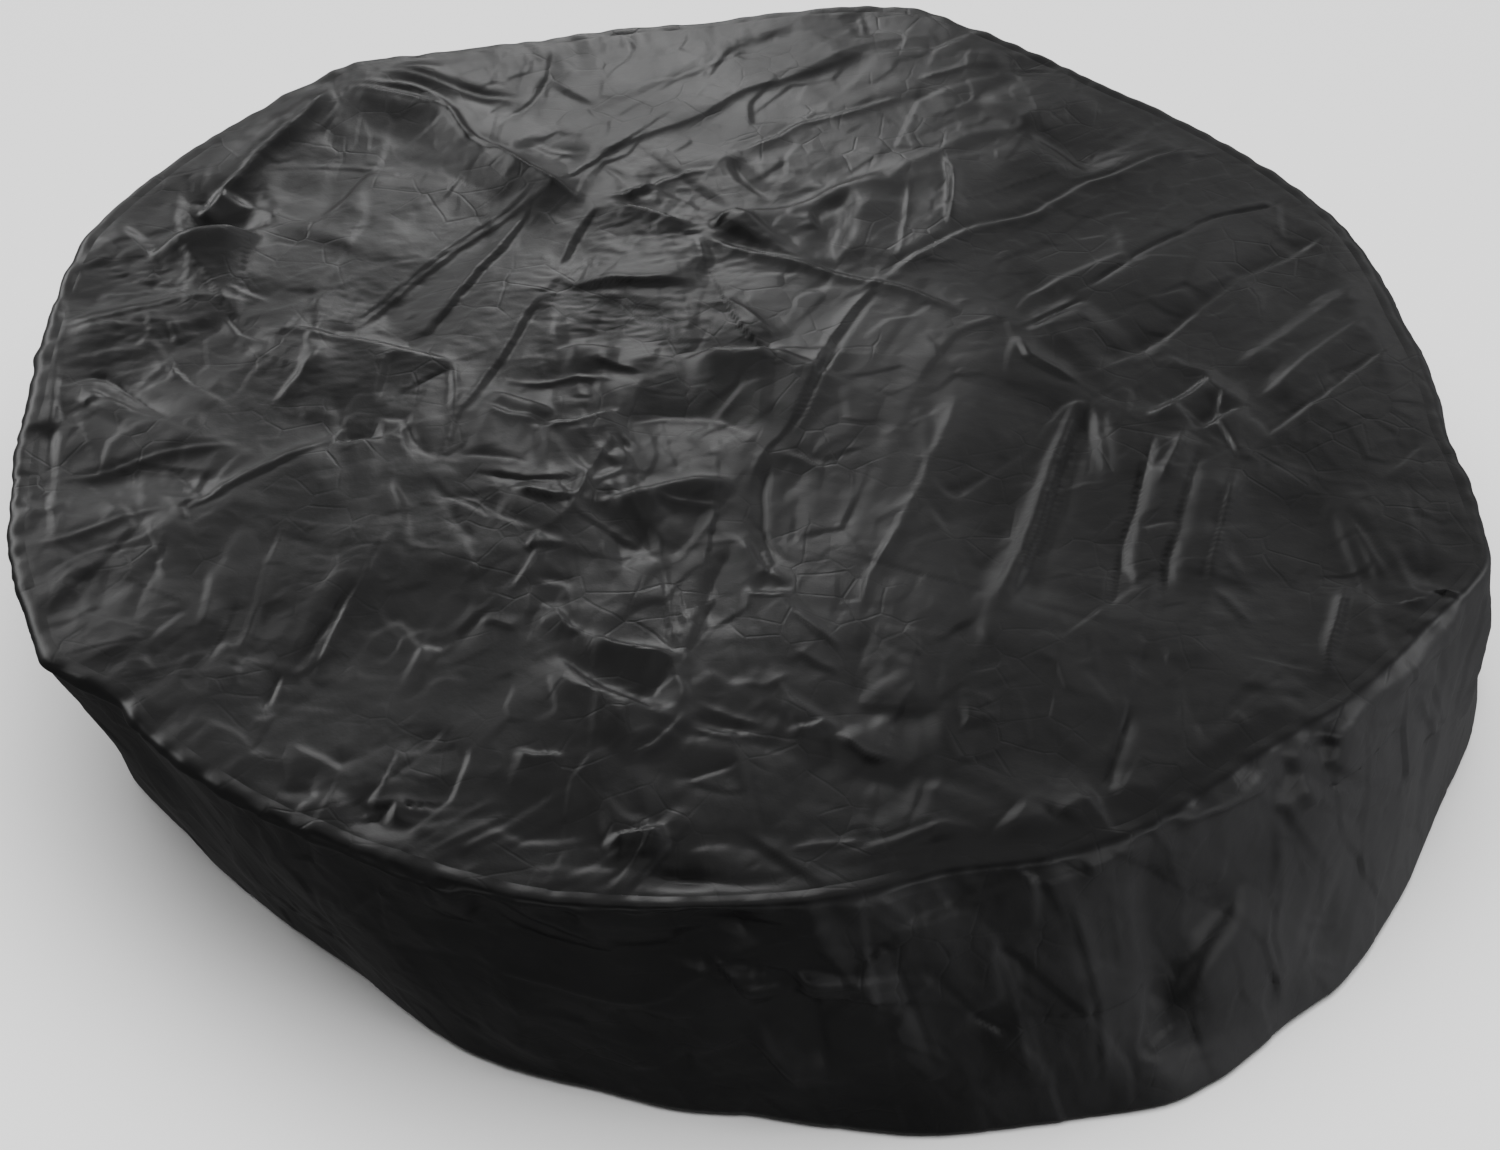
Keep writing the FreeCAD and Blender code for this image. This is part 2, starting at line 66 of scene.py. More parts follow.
# Creases of the face: height of its fine ridge, of its fine step, of its broad ridge and of its broad step (mm, minus for a valley or for a
# step the other way; a step stands higher on the left of its line), then the points it runs through. SWELLS are (x, y, width, depth, height).
FACE_CREASES = [
    (1.60, 0.75, 5.0, -3.8, [(-245, 272), (-199, 261), (-178, 245), (-164, 217), (-146, 201), (-130, 183), (-113, 168), (-95, 154)]),
    (0.88, -1.80, 3.8, 4.4, [(-245, 277), (-200, 273), (-179, 255), (-163, 223), (-146, 208), (-143, 198), (-125, 182), (-114, 170), (-96, 161)]),
    (-0.28, -1.03, 0.1, 3.0, [(-238, 297), (-199, 284), (-166, 265), (-150, 262), (-133, 261)]),
    (0.62, 1.78, 6.0, -3.0, [(-245, 277), (-250, 257), (-264, 224), (-274, 208), (-286, 180), (-300, 155)]),
    (1.60, -1.80, 6.0, -5.0, [(-323, 102), (-311, 114), (-299, 120), (-282, 123), (-264, 124)]),
    (-1.60, 0.18, -4.5, -5.0, [(-314, 131), (-287, 134), (-259, 138)]),
    (0.19, 0.84, -0.5, -0.4, [(-344, 99), (-322, 85), (-296, 77)]),
    (0.45, 0.07, 1.5, -0.6, [(-368, 46), (-334, 56), (-295, 69), (-278, 67), (-252, 62)]),
    (0.06, 0.97, 0.8, -2.2, [(-367, 40), (-333, 52), (-295, 65)]),
    (0.80, -0.55, -1.3, 0.8, [(-280, 78), (-266, 72), (-252, 62)]),
    (-0.44, -0.67, 3.2, -0.3, [(-262, 41), (-238, 42), (-218, 35), (-193, 29), (-157, 15), (-152, 7)]),
    (-1.00, -0.77, -2.8, -2.3, [(-238, 44), (-218, 37), (-193, 31), (-157, 16)]),
    (0.57, -0.15, -0.2, 0.0, [(-238, 46), (-228, 68), (-215, 87), (-211, 99)]),
    (1.50, -0.27, -3.3, 3.1, [(-211, 41), (-181, 88), (-157, 123), (-138, 144), (-124, 165)]),
    (1.32, 0.87, -2.6, -2.6, [(-213, 45), (-183, 92), (-159, 127), (-140, 149), (-126, 171)]),
    (1.21, 1.80, -0.4, -0.5, [(-176, 31), (-158, 75), (-140, 115), (-130, 141), (-127, 159)]),
    (0.62, -1.52, -1.2, 1.8, [(-276, 57), (-267, 38), (-249, 27)]),
    (-0.18, -0.12, -0.4, -0.4, [(-310, 39), (-297, 15)]),
    (-0.29, 1.10, 0.7, -0.3, [(-305, 50), (-297, 28)]),
    (-0.22, -0.75, 0.5, -0.8, [(-187, 25), (-189, 7), (-191, -13), (-192, -22)]),
    (0.16, -0.21, 2.0, -0.6, [(-222, 30), (-228, 14), (-235, 1)]),
    (-0.05, 0.11, 0.1, 0.5, [(-251, 19), (-257, 0), (-262, -14), (-264, -23)]),
    (-0.31, 0.07, -0.0, 1.2, [(-254, 139), (-242, 124), (-221, 113), (-211, 96)]),
    (-0.06, 0.45, 0.7, -1.2, [(-264, 193), (-226, 194), (-191, 187), (-155, 171)]),
    (-0.23, -1.39, 0.5, -1.5, [(-238, 142), (-229, 157), (-222, 175), (-211, 200)]),
    (-0.05, 1.60, 3.6, 1.1, [(-289, 171), (-294, 162), (-305, 143)]),
    (0.02, -0.36, 1.6, -1.4, [(-355, 119), (-338, 137)]),
    (0.06, 0.12, 0.8, -1.4, [(-352, 116), (-342, 101)]),
    (-0.44, -0.47, -1.7, 0.1, [(-123, 320), (-125, 286), (-132, 259), (-142, 246), (-152, 230)]),
    (-0.00, 0.78, 0.0, -0.1, [(-123, 282), (-110, 266), (-95, 253)]),
    (0.05, 0.07, -0.3, 0.7, [(-115, 234), (-91, 254), (-78, 264), (-50, 289), (-19, 319), (-5, 329), (26, 344)]),
    (-0.49, -0.56, 0.9, 0.6, [(-18, 322), (-27, 303), (-35, 281)]),
    (0.48, 0.07, 0.3, 1.0, [(-101, 196), (-81, 215), (-57, 232), (-35, 248), (-14, 272), (6, 282), (44, 306), (57, 324)]),
    (0.01, 0.04, 0.1, 1.0, [(8, 280), (31, 298), (57, 319)]),
    (0.80, -0.20, -2.9, 0.2, [(50, 366), (54, 345), (56, 327)]),
    (1.04, -0.28, -2.8, 1.1, [(-134, 221), (-119, 208), (-96, 203)]),
    (1.11, -0.77, -0.6, 0.5, [(-23, 204), (6, 224), (18, 237), (43, 248), (68, 264), (86, 269)]),
    (1.60, -0.72, -0.5, -0.1, [(-96, 160), (-76, 166), (-61, 176), (-49, 185), (-23, 195)]),
    (1.60, 1.80, 2.0, -2.2, [(-77, 163), (-67, 168), (-61, 177)]),
    (-0.26, -1.16, 0.8, 0.1, [(-23, 204), (-15, 180), (3, 159)]),
    (-0.46, -0.54, -1.7, 1.5, [(-21, 204), (-12, 182), (4, 162)]),
    (0.54, -0.34, 1.0, -2.2, [(-33, 131), (-12, 147), (3, 150), (20, 159), (42, 175), (71, 194)]),
    (1.60, -0.67, 2.5, -0.6, [(-87, 157), (-61, 144), (-36, 130)]),
    (0.27, -1.80, -2.4, -1.1, [(-86, 160), (-62, 148), (-37, 134)]),
    (1.53, -1.80, 0.1, 1.0, [(-36, 128), (-17, 114), (8, 105), (41, 90), (68, 82), (101, 60)]),
    (1.60, 1.80, 3.5, -4.2, [(-29, 131), (-19, 143), (-11, 150)]),
    (1.60, -1.52, -2.1, -0.2, [(-89, 157), (-100, 130), (-105, 107), (-111, 95)]),
    (1.60, 1.80, 1.0, -0.3, [(-107, 87), (-97, 79), (-78, 83), (-53, 82), (-35, 88)]),
    (0.79, 0.09, 0.4, -2.2, [(-36, 128), (-34, 105), (-37, 94), (-33, 77)]),
    (1.21, -1.42, -1.9, 0.6, [(-115, 78), (-122, 56), (-130, 29), (-138, 5), (-145, -12)]),
    (1.56, -0.98, 0.7, -2.4, [(-107, 26), (-88, 28), (-72, 26)]),
    (0.15, -0.02, 0.1, -0.0, [(-125, 21), (-94, 16), (-65, 9)]),
    (1.60, 0.80, -0.2, 0.7, [(-90, 19), (-73, 11), (-60, 6)]),
    (0.46, -0.92, 0.1, 2.9, [(-44, 66), (-49, 44), (-46, 20)]),
    (0.50, -0.46, -0.5, -0.5, [(-54, 63), (-52, 41), (-59, 9)]),
    (1.60, -1.80, 5.2, -5.0, [(-45, 17), (-24, 20), (3, 20), (6, 29)]),
    (1.43, -0.37, 1.1, -0.7, [(-41, 63), (-20, 66), (-4, 47), (6, 29)]),
    (1.22, -0.28, 1.4, 0.4, [(57, 87), (40, 54), (27, 19), (22, -9)]),
    (0.05, 0.69, -1.6, -0.3, [(60, 83), (44, 51), (31, 17), (25, -8)]),
    (0.34, -0.05, -0.0, -0.1, [(18, 291), (56, 324), (82, 331), (106, 333)]),
    (1.18, 0.07, -0.1, -0.4, [(82, 284), (99, 292), (115, 303)]),
    (0.29, 0.29, -0.6, 0.3, [(44, 250), (53, 262), (78, 269), (112, 268)]),
    (-0.01, -0.12, 2.6, -0.3, [(17, 158), (38, 173), (64, 181), (74, 197), (90, 208), (99, 218), (112, 229), (139, 236), (154, 252), (183, 284)]),
    (-0.60, -1.79, 2.1, 1.7, [(58, 90), (78, 110), (96, 128), (111, 140), (136, 150), (150, 162), (172, 183), (186, 190), (217, 212), (243, 224)]),
    (-0.05, -0.14, 1.4, 2.3, [(114, 268), (137, 242), (149, 230)]),
    (1.06, 1.17, -2.8, -2.2, [(129, 296), (151, 300), (176, 296)]),
    (0.00, 0.07, 0.1, -1.4, [(149, 322), (151, 300)]),
    (0.90, 0.42, -1.8, -3.2, [(140, 230), (160, 208), (172, 187)]),
    (-1.60, 0.30, 0.5, -0.1, [(158, 78), (183, 104), (201, 122), (219, 137), (237, 152), (266, 164), (281, 177)]),
    (-1.60, 1.80, 0.1, -4.1, [(126, 45), (144, 61), (164, 76)]),
    (0.23, -0.04, -4.1, -0.7, [(158, 16), (194, 41), (221, 68), (249, 100), (280, 129), (294, 144)]),
    (1.15, 1.35, 1.8, -0.7, [(126, 45), (130, 23), (156, 3)]),
    (-0.21, -0.47, -0.2, -3.2, [(35, 101), (42, 145), (45, 175)]),
    (0.73, -0.16, -1.2, -0.3, [(67, 102), (73, 145), (76, 188)]),
    (1.60, -1.80, 2.0, 0.8, [(94, 134), (99, 176), (95, 210)]),
    (0.11, -1.54, 0.8, 0.7, [(22, 150), (27, 133)]),
    (0.17, -1.43, 1.6, -1.4, [(182, -24), (203, -8), (226, 17)]),
    (-0.42, -0.98, 0.7, 1.2, [(156, 9), (181, 28), (197, 40), (217, 64), (246, 98), (272, 118), (301, 146)]),
    (-0.19, -0.10, 1.9, -1.7, [(228, 17), (246, 34), (270, 58), (288, 76), (304, 93), (311, 102)]),
    (-0.84, -0.13, 2.9, -2.3, [(236, -10), (251, 5), (271, 29), (294, 54), (314, 72)]),
    (-1.60, -0.46, 1.7, -1.1, [(234, -46), (253, -25), (273, -5), (297, 22), (324, 49)]),
    (0.26, -0.88, 0.0, 0.1, [(295, -67), (309, -52), (333, -24)]),
    (-0.26, -1.79, -0.8, -0.6, [(207, -32), (212, -29), (236, -12)]),
    (0.31, 0.09, -0.7, -0.2, [(129, 20), (154, 6), (180, -22), (189, -28), (207, -32), (222, -43), (234, -48), (271, -67), (296, -69)]),
    (-0.72, -0.68, 0.5, -0.6, [(201, 33), (210, 23), (228, 17)]),
    (-0.44, -0.15, -3.4, 2.1, [(153, 1), (144, -25), (132, -62), (118, -110), (109, -138), (102, -160)]),
    (0.74, -0.06, -1.5, 0.5, [(158, -9), (147, -50), (138, -89), (124, -133)]),
    (0.47, -0.65, 0.1, 1.9, [(163, -4), (163, -40), (164, -74)]),
    (-1.01, 0.33, -0.2, 1.3, [(189, -29), (182, -61), (175, -88), (168, -116), (161, -144)]),
    (1.60, -0.57, 1.4, 0.3, [(205, -30), (196, -56), (188, -75)]),
    (-1.60, -0.17, -1.1, 1.4, [(211, -39), (199, -85), (190, -116), (181, -155)]),
    (1.50, 0.65, 0.1, -1.3, [(227, -56), (221, -80), (213, -111), (206, -138), (202, -155)]),
    (0.16, -0.29, -0.1, 1.7, [(271, -67), (272, -96), (277, -126), (279, -154)]),
    (-0.68, -0.66, 0.8, 0.6, [(275, -86), (283, -110), (291, -135)]),
    (0.19, -0.05, -0.4, -0.9, [(289, -72), (292, -98), (296, -123), (299, -150)]),
    (0.03, -0.00, -0.7, -0.3, [(276, -126), (271, -140), (266, -154)]),
    (0.32, -0.84, 0.9, 1.9, [(-342, -77), (-321, -72), (-293, -59), (-263, -53), (-249, -52)]),
    (0.92, 0.22, -0.7, -1.2, [(-278, -101), (-266, -96), (-258, -87), (-245, -75), (-224, -58), (-209, -47), (-203, -32), (-195, -23)]),
    (-0.85, 0.77, 2.5, 0.0, [(-276, -104), (-260, -93), (-251, -84), (-236, -72), (-223, -61), (-207, -50)]),
    (0.89, 0.51, -2.3, -0.9, [(-274, -95), (-269, -76), (-268, -71)]),
    (0.04, -0.61, 0.2, 1.3, [(-266, -96), (-261, -75), (-250, -53)]),
    (0.57, -0.60, -0.1, 2.2, [(-350, -124), (-332, -124), (-315, -114), (-294, -102), (-278, -100)]),
    (0.38, -0.57, -1.4, 1.7, [(-337, -156), (-325, -142), (-312, -130), (-291, -121), (-280, -107)]),
    (1.13, 0.53, 0.6, 2.2, [(-328, -178), (-322, -160), (-314, -144), (-306, -133)]),
    (-0.00, -0.24, 1.5, 1.4, [(-351, -122), (-347, -108), (-344, -91)]),
    (-0.05, 0.14, -1.1, 4.4, [(-362, -40), (-352, -39), (-344, -38)]),
    (-0.08, 0.41, 1.1, -1.1, [(-312, -12), (-300, 12), (-294, 15)]),
    (-1.60, 0.51, -2.4, -0.7, [(-351, -5), (-340, 3), (-329, 5), (-313, -9), (-290, -33)]),
    (-0.45, 1.11, 2.2, -1.8, [(-336, -22), (-327, -9)]),
    (0.26, -0.51, -0.5, 1.1, [(-263, -18), (-255, 6), (-251, 16)]),
    (0.40, -1.37, 1.6, 0.6, [(-243, -23), (-237, -8), (-228, 11), (-222, 27)]),
    (-0.45, -0.29, -0.3, 0.7, [(-187, 25), (-189, -1), (-192, -21)]),
    (-1.60, -1.80, -1.1, -0.8, [(-209, -51), (-197, -47), (-184, -46)]),
    (-0.36, -0.85, -0.4, 0.8, [(-194, -28), (-184, -33), (-178, -33), (-174, -49), (-167, -69)]),
    (-0.76, -0.42, 0.0, 0.4, [(-177, -34), (-171, -49), (-160, -64)]),
    (1.27, 0.09, -2.3, -0.5, [(-134, 23), (-143, -6), (-151, -26), (-154, -44), (-157, -64), (-164, -71)]),
    (1.60, 0.47, -0.1, 0.4, [(-157, 18), (-154, -14), (-154, -34)]),
    (0.07, 0.59, 0.7, -1.1, [(-164, -71), (-152, -90), (-144, -111), (-128, -129)]),
    (-1.60, -0.35, 0.6, -0.3, [(-154, -88), (-139, -97), (-125, -110)]),
    (-0.91, -0.49, 0.9, -0.1, [(-177, -76), (-171, -98), (-164, -125)]),
    (-0.05, -0.00, -0.7, -0.7, [(-174, -76), (-168, -100), (-163, -121)]),
    (-0.16, 0.66, 2.7, -1.5, [(-176, -105), (-181, -130), (-187, -146), (-196, -175), (-203, -199), (-211, -218)]),
    (0.54, 1.43, 0.4, -1.4, [(-180, -126), (-185, -149), (-193, -175), (-199, -197), (-202, -220)]),
    (-0.42, -1.17, -1.7, 0.2, [(-190, -149), (-199, -175), (-208, -199), (-213, -216)]),
    (0.20, -0.15, 0.2, 0.3, [(-123, -141), (-149, -130), (-164, -128), (-176, -121)]),
    (-0.38, 0.27, -0.9, -0.6, [(-278, -114), (-281, -139), (-286, -164), (-288, -192)]),
    (-0.19, -0.00, 0.6, 0.2, [(-283, -148), (-280, -157), (-285, -179), (-293, -192)]),
    (0.20, -0.07, 0.1, 0.8, [(-240, -97), (-245, -120), (-252, -147), (-256, -172)]),
    (0.69, 0.49, -0.1, -0.1, [(-256, -141), (-255, -159), (-255, -181), (-254, -196)]),
    (0.99, 0.43, -1.4, -0.1, [(-223, -101), (-227, -122), (-231, -149), (-232, -176), (-237, -208)]),
    (0.45, -0.91, -0.5, -0.4, [(-231, -161), (-232, -185), (-236, -212)]),
    (-1.14, -0.17, -0.1, -0.5, [(-242, -163), (-245, -185), (-253, -213)]),
    (0.16, -0.09, -0.1, -0.4, [(-216, -169), (-217, -182), (-220, -202), (-225, -219)]),
    (-1.60, 0.70, 0.0, -0.8, [(-216, -210), (-219, -225), (-220, -237)]),
    (-0.38, 0.18, 2.1, -0.4, [(-324, -206), (-308, -201), (-287, -194), (-273, -192)]),
    (-0.13, 0.41, -0.1, -0.6, [(-277, -198), (-268, -211)]),
    (-0.30, -0.18, 0.2, -0.2, [(-122, -154), (-137, -183), (-141, -194)]),
    (-0.46, -0.47, 1.0, -0.1, [(-157, -192), (-144, -196)]),
    (1.04, -1.39, -1.3, 0.1, [(-141, -15), (-131, -26), (-117, -30), (-100, -32)]),
    (1.60, 0.52, 1.1, -0.8, [(-115, -39), (-95, -37), (-83, -29), (-70, -24)]),
    (-1.52, -0.99, -0.3, -3.3, [(-117, -35), (-96, -33), (-83, -25), (-70, -21)]),
    (-1.60, -1.28, 1.1, -1.5, [(-137, -7), (-121, -13), (-103, -19)]),
    (1.60, -0.06, -3.2, 0.4, [(-130, 1), (-114, 0), (-94, 4), (-71, 0)]),
    (-1.10, -0.77, 1.4, 0.9, [(-149, -59), (-130, -62), (-112, -68)]),
    (-1.60, 1.21, 2.2, -1.2, [(-144, -71), (-125, -78), (-106, -80), (-88, -79)]),
    (0.99, 1.80, 2.6, -1.3, [(-124, -85), (-109, -93), (-93, -94), (-88, -88)]),
    (-0.65, -1.39, 0.3, 1.2, [(-153, -87), (-137, -94), (-123, -108), (-106, -116)]),
    (-0.55, -0.03, -1.1, 0.2, [(-162, -73), (-151, -92), (-144, -110), (-129, -131)]),
    (-0.54, 1.80, 1.3, -0.4, [(-107, -117), (-111, -128), (-109, -133)]),
    (0.29, 1.80, 0.4, -1.8, [(-104, -119), (-108, -135), (-114, -151), (-119, -162)]),
    (0.76, -0.61, 2.3, 1.4, [(-70, -32), (-77, -52), (-85, -74), (-89, -91), (-93, -105), (-106, -119)]),
    (0.53, -0.50, -2.2, -0.7, [(-78, -61), (-63, -51)]),
    (1.24, 0.75, -0.6, -2.7, [(-83, -81), (-66, -69)]),
    (1.16, 0.78, -1.7, -1.2, [(-92, -100), (-75, -114), (-55, -127)]),
    (-0.63, -1.80, 2.6, -2.9, [(-86, -93), (-68, -90), (-45, -80), (-23, -76), (-10, -80)]),
    (1.60, -1.08, -2.8, 1.9, [(-54, -90), (-41, -94), (-21, -96)]),
    (1.22, -0.54, -4.2, 0.1, [(-70, -37), (-52, -26), (-23, -31), (-5, -48)]),
    (0.16, 0.54, 1.3, -1.1, [(-62, 10), (-65, -9), (-70, -32)]),
    (0.73, -0.31, -0.2, -0.1, [(35, 33), (22, 1), (14, -25), (6, -43), (-3, -60), (-9, -89)]),
    (-1.28, 1.06, 1.8, -2.2, [(38, 33), (25, -2), (17, -27), (9, -45)]),
    (0.68, 0.23, -1.2, -0.0, [(-9, -89), (-18, -94), (-30, -115), (-37, -127), (-43, -141)]),
    (-1.16, 1.30, -0.7, -1.0, [(6, -55), (0, -75), (-1, -98), (2, -122), (15, -137)]),
    (0.64, -1.36, -0.5, 1.2, [(8, -52), (29, -66)]),
    (0.47, -0.91, 1.3, -0.5, [(-9, -113), (-7, -129), (0, -140), (14, -149)]),
    (-0.33, 0.17, -2.6, -0.2, [(-12, -113), (-19, -136), (-23, -149), (-27, -167), (-31, -191)]),
    (0.19, -0.36, 1.4, -0.3, [(-23, -154), (-30, -176), (-35, -198), (-35, -227), (-41, -252)]),
    (1.60, -0.24, 0.8, -1.6, [(-13, -158), (5, -159), (14, -155)]),
    (0.98, 0.70, 0.2, -0.5, [(8, -164), (21, -182), (36, -197)]),
    (0.82, 0.43, -0.3, -0.9, [(62, -107), (54, -128), (46, -148), (43, -173)]),
    (0.19, 0.34, -0.2, -1.9, [(45, -168), (37, -196), (35, -218), (30, -244)]),
    (0.65, 0.74, 0.2, -0.4, [(12, -197), (24, -207), (35, -211)]),
    (0.47, -0.03, 0.7, 0.1, [(-15, -214), (-1, -220), (15, -210)]),
    (0.11, -0.51, 0.4, -0.2, [(-29, -208), (-15, -218), (-4, -218)]),
    (0.72, -0.45, -0.2, -0.1, [(-32, -231), (-13, -241), (1, -245)]),
    (0.90, 0.07, 1.8, -0.6, [(-33, -245), (-19, -251), (1, -252)]),
    (-0.74, -1.40, 2.9, 1.6, [(8, -247), (20, -245), (29, -236)]),
    (-0.02, -0.60, -1.2, 1.1, [(-109, -166), (-97, -167), (-85, -166)]),
    (1.41, -1.03, 0.8, 0.2, [(-97, -168), (-88, -184), (-79, -188)]),
    (1.60, -1.80, 2.7, -1.9, [(-84, -187), (-67, -195), (-42, -201), (-35, -198)]),
    (-1.60, -0.77, -1.0, -3.6, [(-95, -199), (-80, -215), (-63, -228), (-40, -240)]),
    (-0.33, 0.16, -0.4, 0.5, [(-70, -188), (-59, -170), (-42, -161)]),
    (-0.34, -0.97, -1.1, 0.7, [(-107, -150), (-95, -152), (-87, -155)]),
    (0.79, 0.63, -2.7, -2.3, [(-75, -135), (-60, -130), (-47, -127)]),
    (0.57, 0.40, 0.5, -0.1, [(-133, -178), (-122, -180), (-112, -186)]),
    (0.59, -0.16, -1.0, 0.7, [(-119, -160), (-132, -173), (-140, -191), (-143, -196), (-155, -210)]),
    (0.57, -0.12, 0.1, 1.0, [(95, -5), (91, -23), (81, -51), (74, -76), (62, -107), (48, -148), (40, -168)]),
    (0.43, 0.47, -0.9, -1.6, [(73, -78), (67, -97), (56, -130), (46, -157)]),
    (-0.26, 0.29, -0.2, -0.8, [(73, -80), (81, -92), (89, -109)]),
    (0.18, -0.51, 0.0, 0.2, [(75, -90), (82, -104), (88, -117)]),
    (-0.14, -0.02, -0.2, 1.2, [(152, 1), (140, -40), (125, -87), (112, -124), (100, -161), (95, -187), (89, -204)]),
    (1.37, -0.14, -0.9, -5.0, [(155, -4), (140, -62), (123, -124), (109, -165)]),
    (0.04, 0.00, -0.2, -0.1, [(38, -199), (64, -192), (95, -184)]),
    (0.76, 0.16, -0.3, -2.3, [(78, -231), (59, -231), (38, -228)]),
    (-0.07, -0.21, -0.5, -0.1, [(38, -228), (52, -215), (65, -204)]),
    (0.05, -0.16, 0.5, -0.0, [(102, -202), (109, -216)]),
    (0.37, -0.16, 0.4, 0.1, [(84, -221), (97, -225), (102, -233)]),
    (-0.17, 0.06, 1.2, -0.9, [(84, -231), (94, -231), (100, -243)]),
    (0.31, 0.23, -0.2, 0.0, [(121, -195), (131, -201)]),
    (0.39, -0.47, -0.3, 0.6, [(138, -203), (146, -199), (148, -190)]),
    (-1.27, -0.63, 0.1, -0.5, [(189, -29), (179, -74), (172, -100), (164, -132), (155, -173)]),
    (-0.45, -0.75, 0.5, -0.5, [(211, -39), (197, -95), (184, -141), (171, -188), (162, -224), (155, -254)]),
    (-0.19, 0.65, 1.5, -0.9, [(224, -63), (214, -109), (202, -154), (188, -209)]),
    (0.33, -0.13, -0.2, 0.7, [(188, -209), (185, -223), (184, -244)]),
    (0.46, 0.70, 0.1, -0.8, [(205, -145), (214, -159), (221, -174)]),
    (-0.78, -0.27, 0.3, -0.3, [(175, -105), (184, -102), (195, -100)]),
    (-0.38, -0.33, 0.9, -0.3, [(217, -101), (217, -122), (227, -136)]),
    (0.06, -0.14, -0.4, 0.2, [(270, -65), (271, -93), (274, -112)]),
    (1.18, -0.36, 1.3, 0.3, [(272, -133), (261, -169), (253, -197), (247, -220)]),
    (0.13, 0.21, -0.0, 0.7, [(214, -212), (222, -218)]),
    (0.13, -0.51, 0.3, -0.7, [(-211, -255), (-199, -261), (-185, -270), (-177, -280)]),
    (0.13, -0.13, 0.1, 0.3, [(-184, -265), (-184, -253), (-182, -241)]),
    (0.35, 0.51, -1.6, -2.6, [(-176, -282), (-173, -302), (-169, -321)]),
    (0.64, 1.39, 3.2, 0.0, [(-174, -290), (-166, -294), (-158, -294), (-162, -305)]),
    (-0.01, -0.02, 0.2, 3.1, [(-207, -289), (-195, -302), (-181, -314)]),
    (-0.15, 0.36, -0.5, 0.7, [(-210, -285), (-197, -285), (-189, -290)]),
    (0.41, -0.16, -0.3, -0.3, [(-253, -242), (-231, -252), (-221, -267)]),
    (-0.00, 0.00, 0.0, 1.0, [(-278, -245), (-272, -240), (-264, -234)]),
    (0.00, 0.13, 0.7, 1.0, [(-276, -248), (-254, -264), (-233, -279), (-212, -287)]),
    (0.00, 0.16, 0.7, -0.9, [(-324, -208), (-310, -216), (-297, -223), (-284, -236)]),
    (0.00, 0.24, 1.1, -0.0, [(-313, -212), (-298, -218), (-281, -234)]),
    (-0.00, -0.12, -0.4, 1.4, [(-150, -318), (-144, -326)]),
    (-0.01, -0.06, 0.2, -1.3, [(-131, -322), (-124, -333)]),
    (0.36, -0.53, -1.0, 0.3, [(-163, -284), (-153, -272), (-136, -242)]),
    (0.11, -0.74, -0.5, 0.4, [(-121, -165), (-139, -185), (-143, -198)]),
    (1.20, -1.41, 0.2, 0.2, [(-110, -264), (-99, -267), (-86, -268)]),
    (-0.09, 1.80, 1.8, -3.4, [(-34, -233), (-38, -245), (-50, -261), (-64, -271)]),
    (-0.88, -0.89, -1.4, 1.3, [(-40, -281), (-25, -275), (-9, -267)]),
    (-0.37, 0.13, -1.6, 0.3, [(-60, -304), (-53, -299), (-41, -308)]),
    (1.58, 1.80, 4.4, -1.6, [(-39, -309), (-57, -313), (-70, -317)]),
    (-0.49, 0.29, 0.9, -0.9, [(-39, -310), (-37, -324)]),
    (0.17, -0.49, 0.4, -0.3, [(-37, -324), (-24, -318), (-8, -317)]),
    (0.65, 1.24, -1.0, -0.8, [(-15, -305), (-3, -314), (6, -321), (18, -333), (34, -347)]),
    (0.78, -0.13, -0.6, -0.2, [(6, -320), (21, -315), (48, -312)]),
    (-1.06, -0.91, -4.0, 4.0, [(-59, -331), (-39, -333), (-12, -338), (14, -342), (34, -348)]),
    (0.25, -0.43, -0.4, -0.4, [(-124, -303), (-102, -316), (-78, -314), (-68, -315)]),
    (0.01, -0.02, 0.2, 1.1, [(-97, -329), (-96, -344)]),
    (0.01, -0.04, -0.4, -0.6, [(-94, -331), (-90, -347)]),
    (-0.00, -0.18, -1.2, 2.0, [(-87, -338), (-78, -349)]),
    (0.00, 0.02, 0.1, 2.4, [(-66, -342), (-58, -347)]),
    (0.00, 0.00, 0.0, 0.0, [(-42, -341), (-40, -354)]),
    (0.00, 0.00, 0.0, -0.0, [(-24, -339), (-22, -354)]),
    (0.01, 0.03, -0.4, -0.8, [(-14, -332), (-13, -346)]),
    (0.01, 0.00, -0.0, 0.0, [(-10, -332), (-9, -350)]),
    (-0.02, -0.34, -1.5, 2.5, [(-132, -321), (-123, -333)]),
    (-0.00, -0.10, -0.1, -1.2, [(-151, -315), (-143, -326)]),
    (0.26, 0.07, 0.4, -0.5, [(12, -226), (5, -244), (-1, -258)]),
    (-0.26, 0.07, -1.4, 1.1, [(-33, -241), (-16, -244), (1, -249)]),
    (0.61, 0.63, 0.1, -1.4, [(-35, -249), (-20, -253), (-6, -257)]),
    (1.60, -0.15, 1.1, -1.8, [(59, -265), (44, -262), (30, -248)]),
    (-0.59, -1.40, -1.2, 1.0, [(162, -223), (156, -246), (151, -264), (145, -286)]),
    (-0.81, -0.25, -1.0, 1.7, [(111, -286), (109, -288), (99, -304), (89, -319)]),
    (-0.04, 0.17, 0.4, -0.6, [(111, -287), (124, -294)]),
    (-0.29, -0.66, 0.6, 1.8, [(71, -271), (65, -291), (59, -310)]),
    (0.18, 0.71, 1.4, -1.0, [(69, -304), (73, -316)]),
    (0.12, -0.11, 0.8, -1.1, [(178, -285), (160, -289), (146, -290)]),
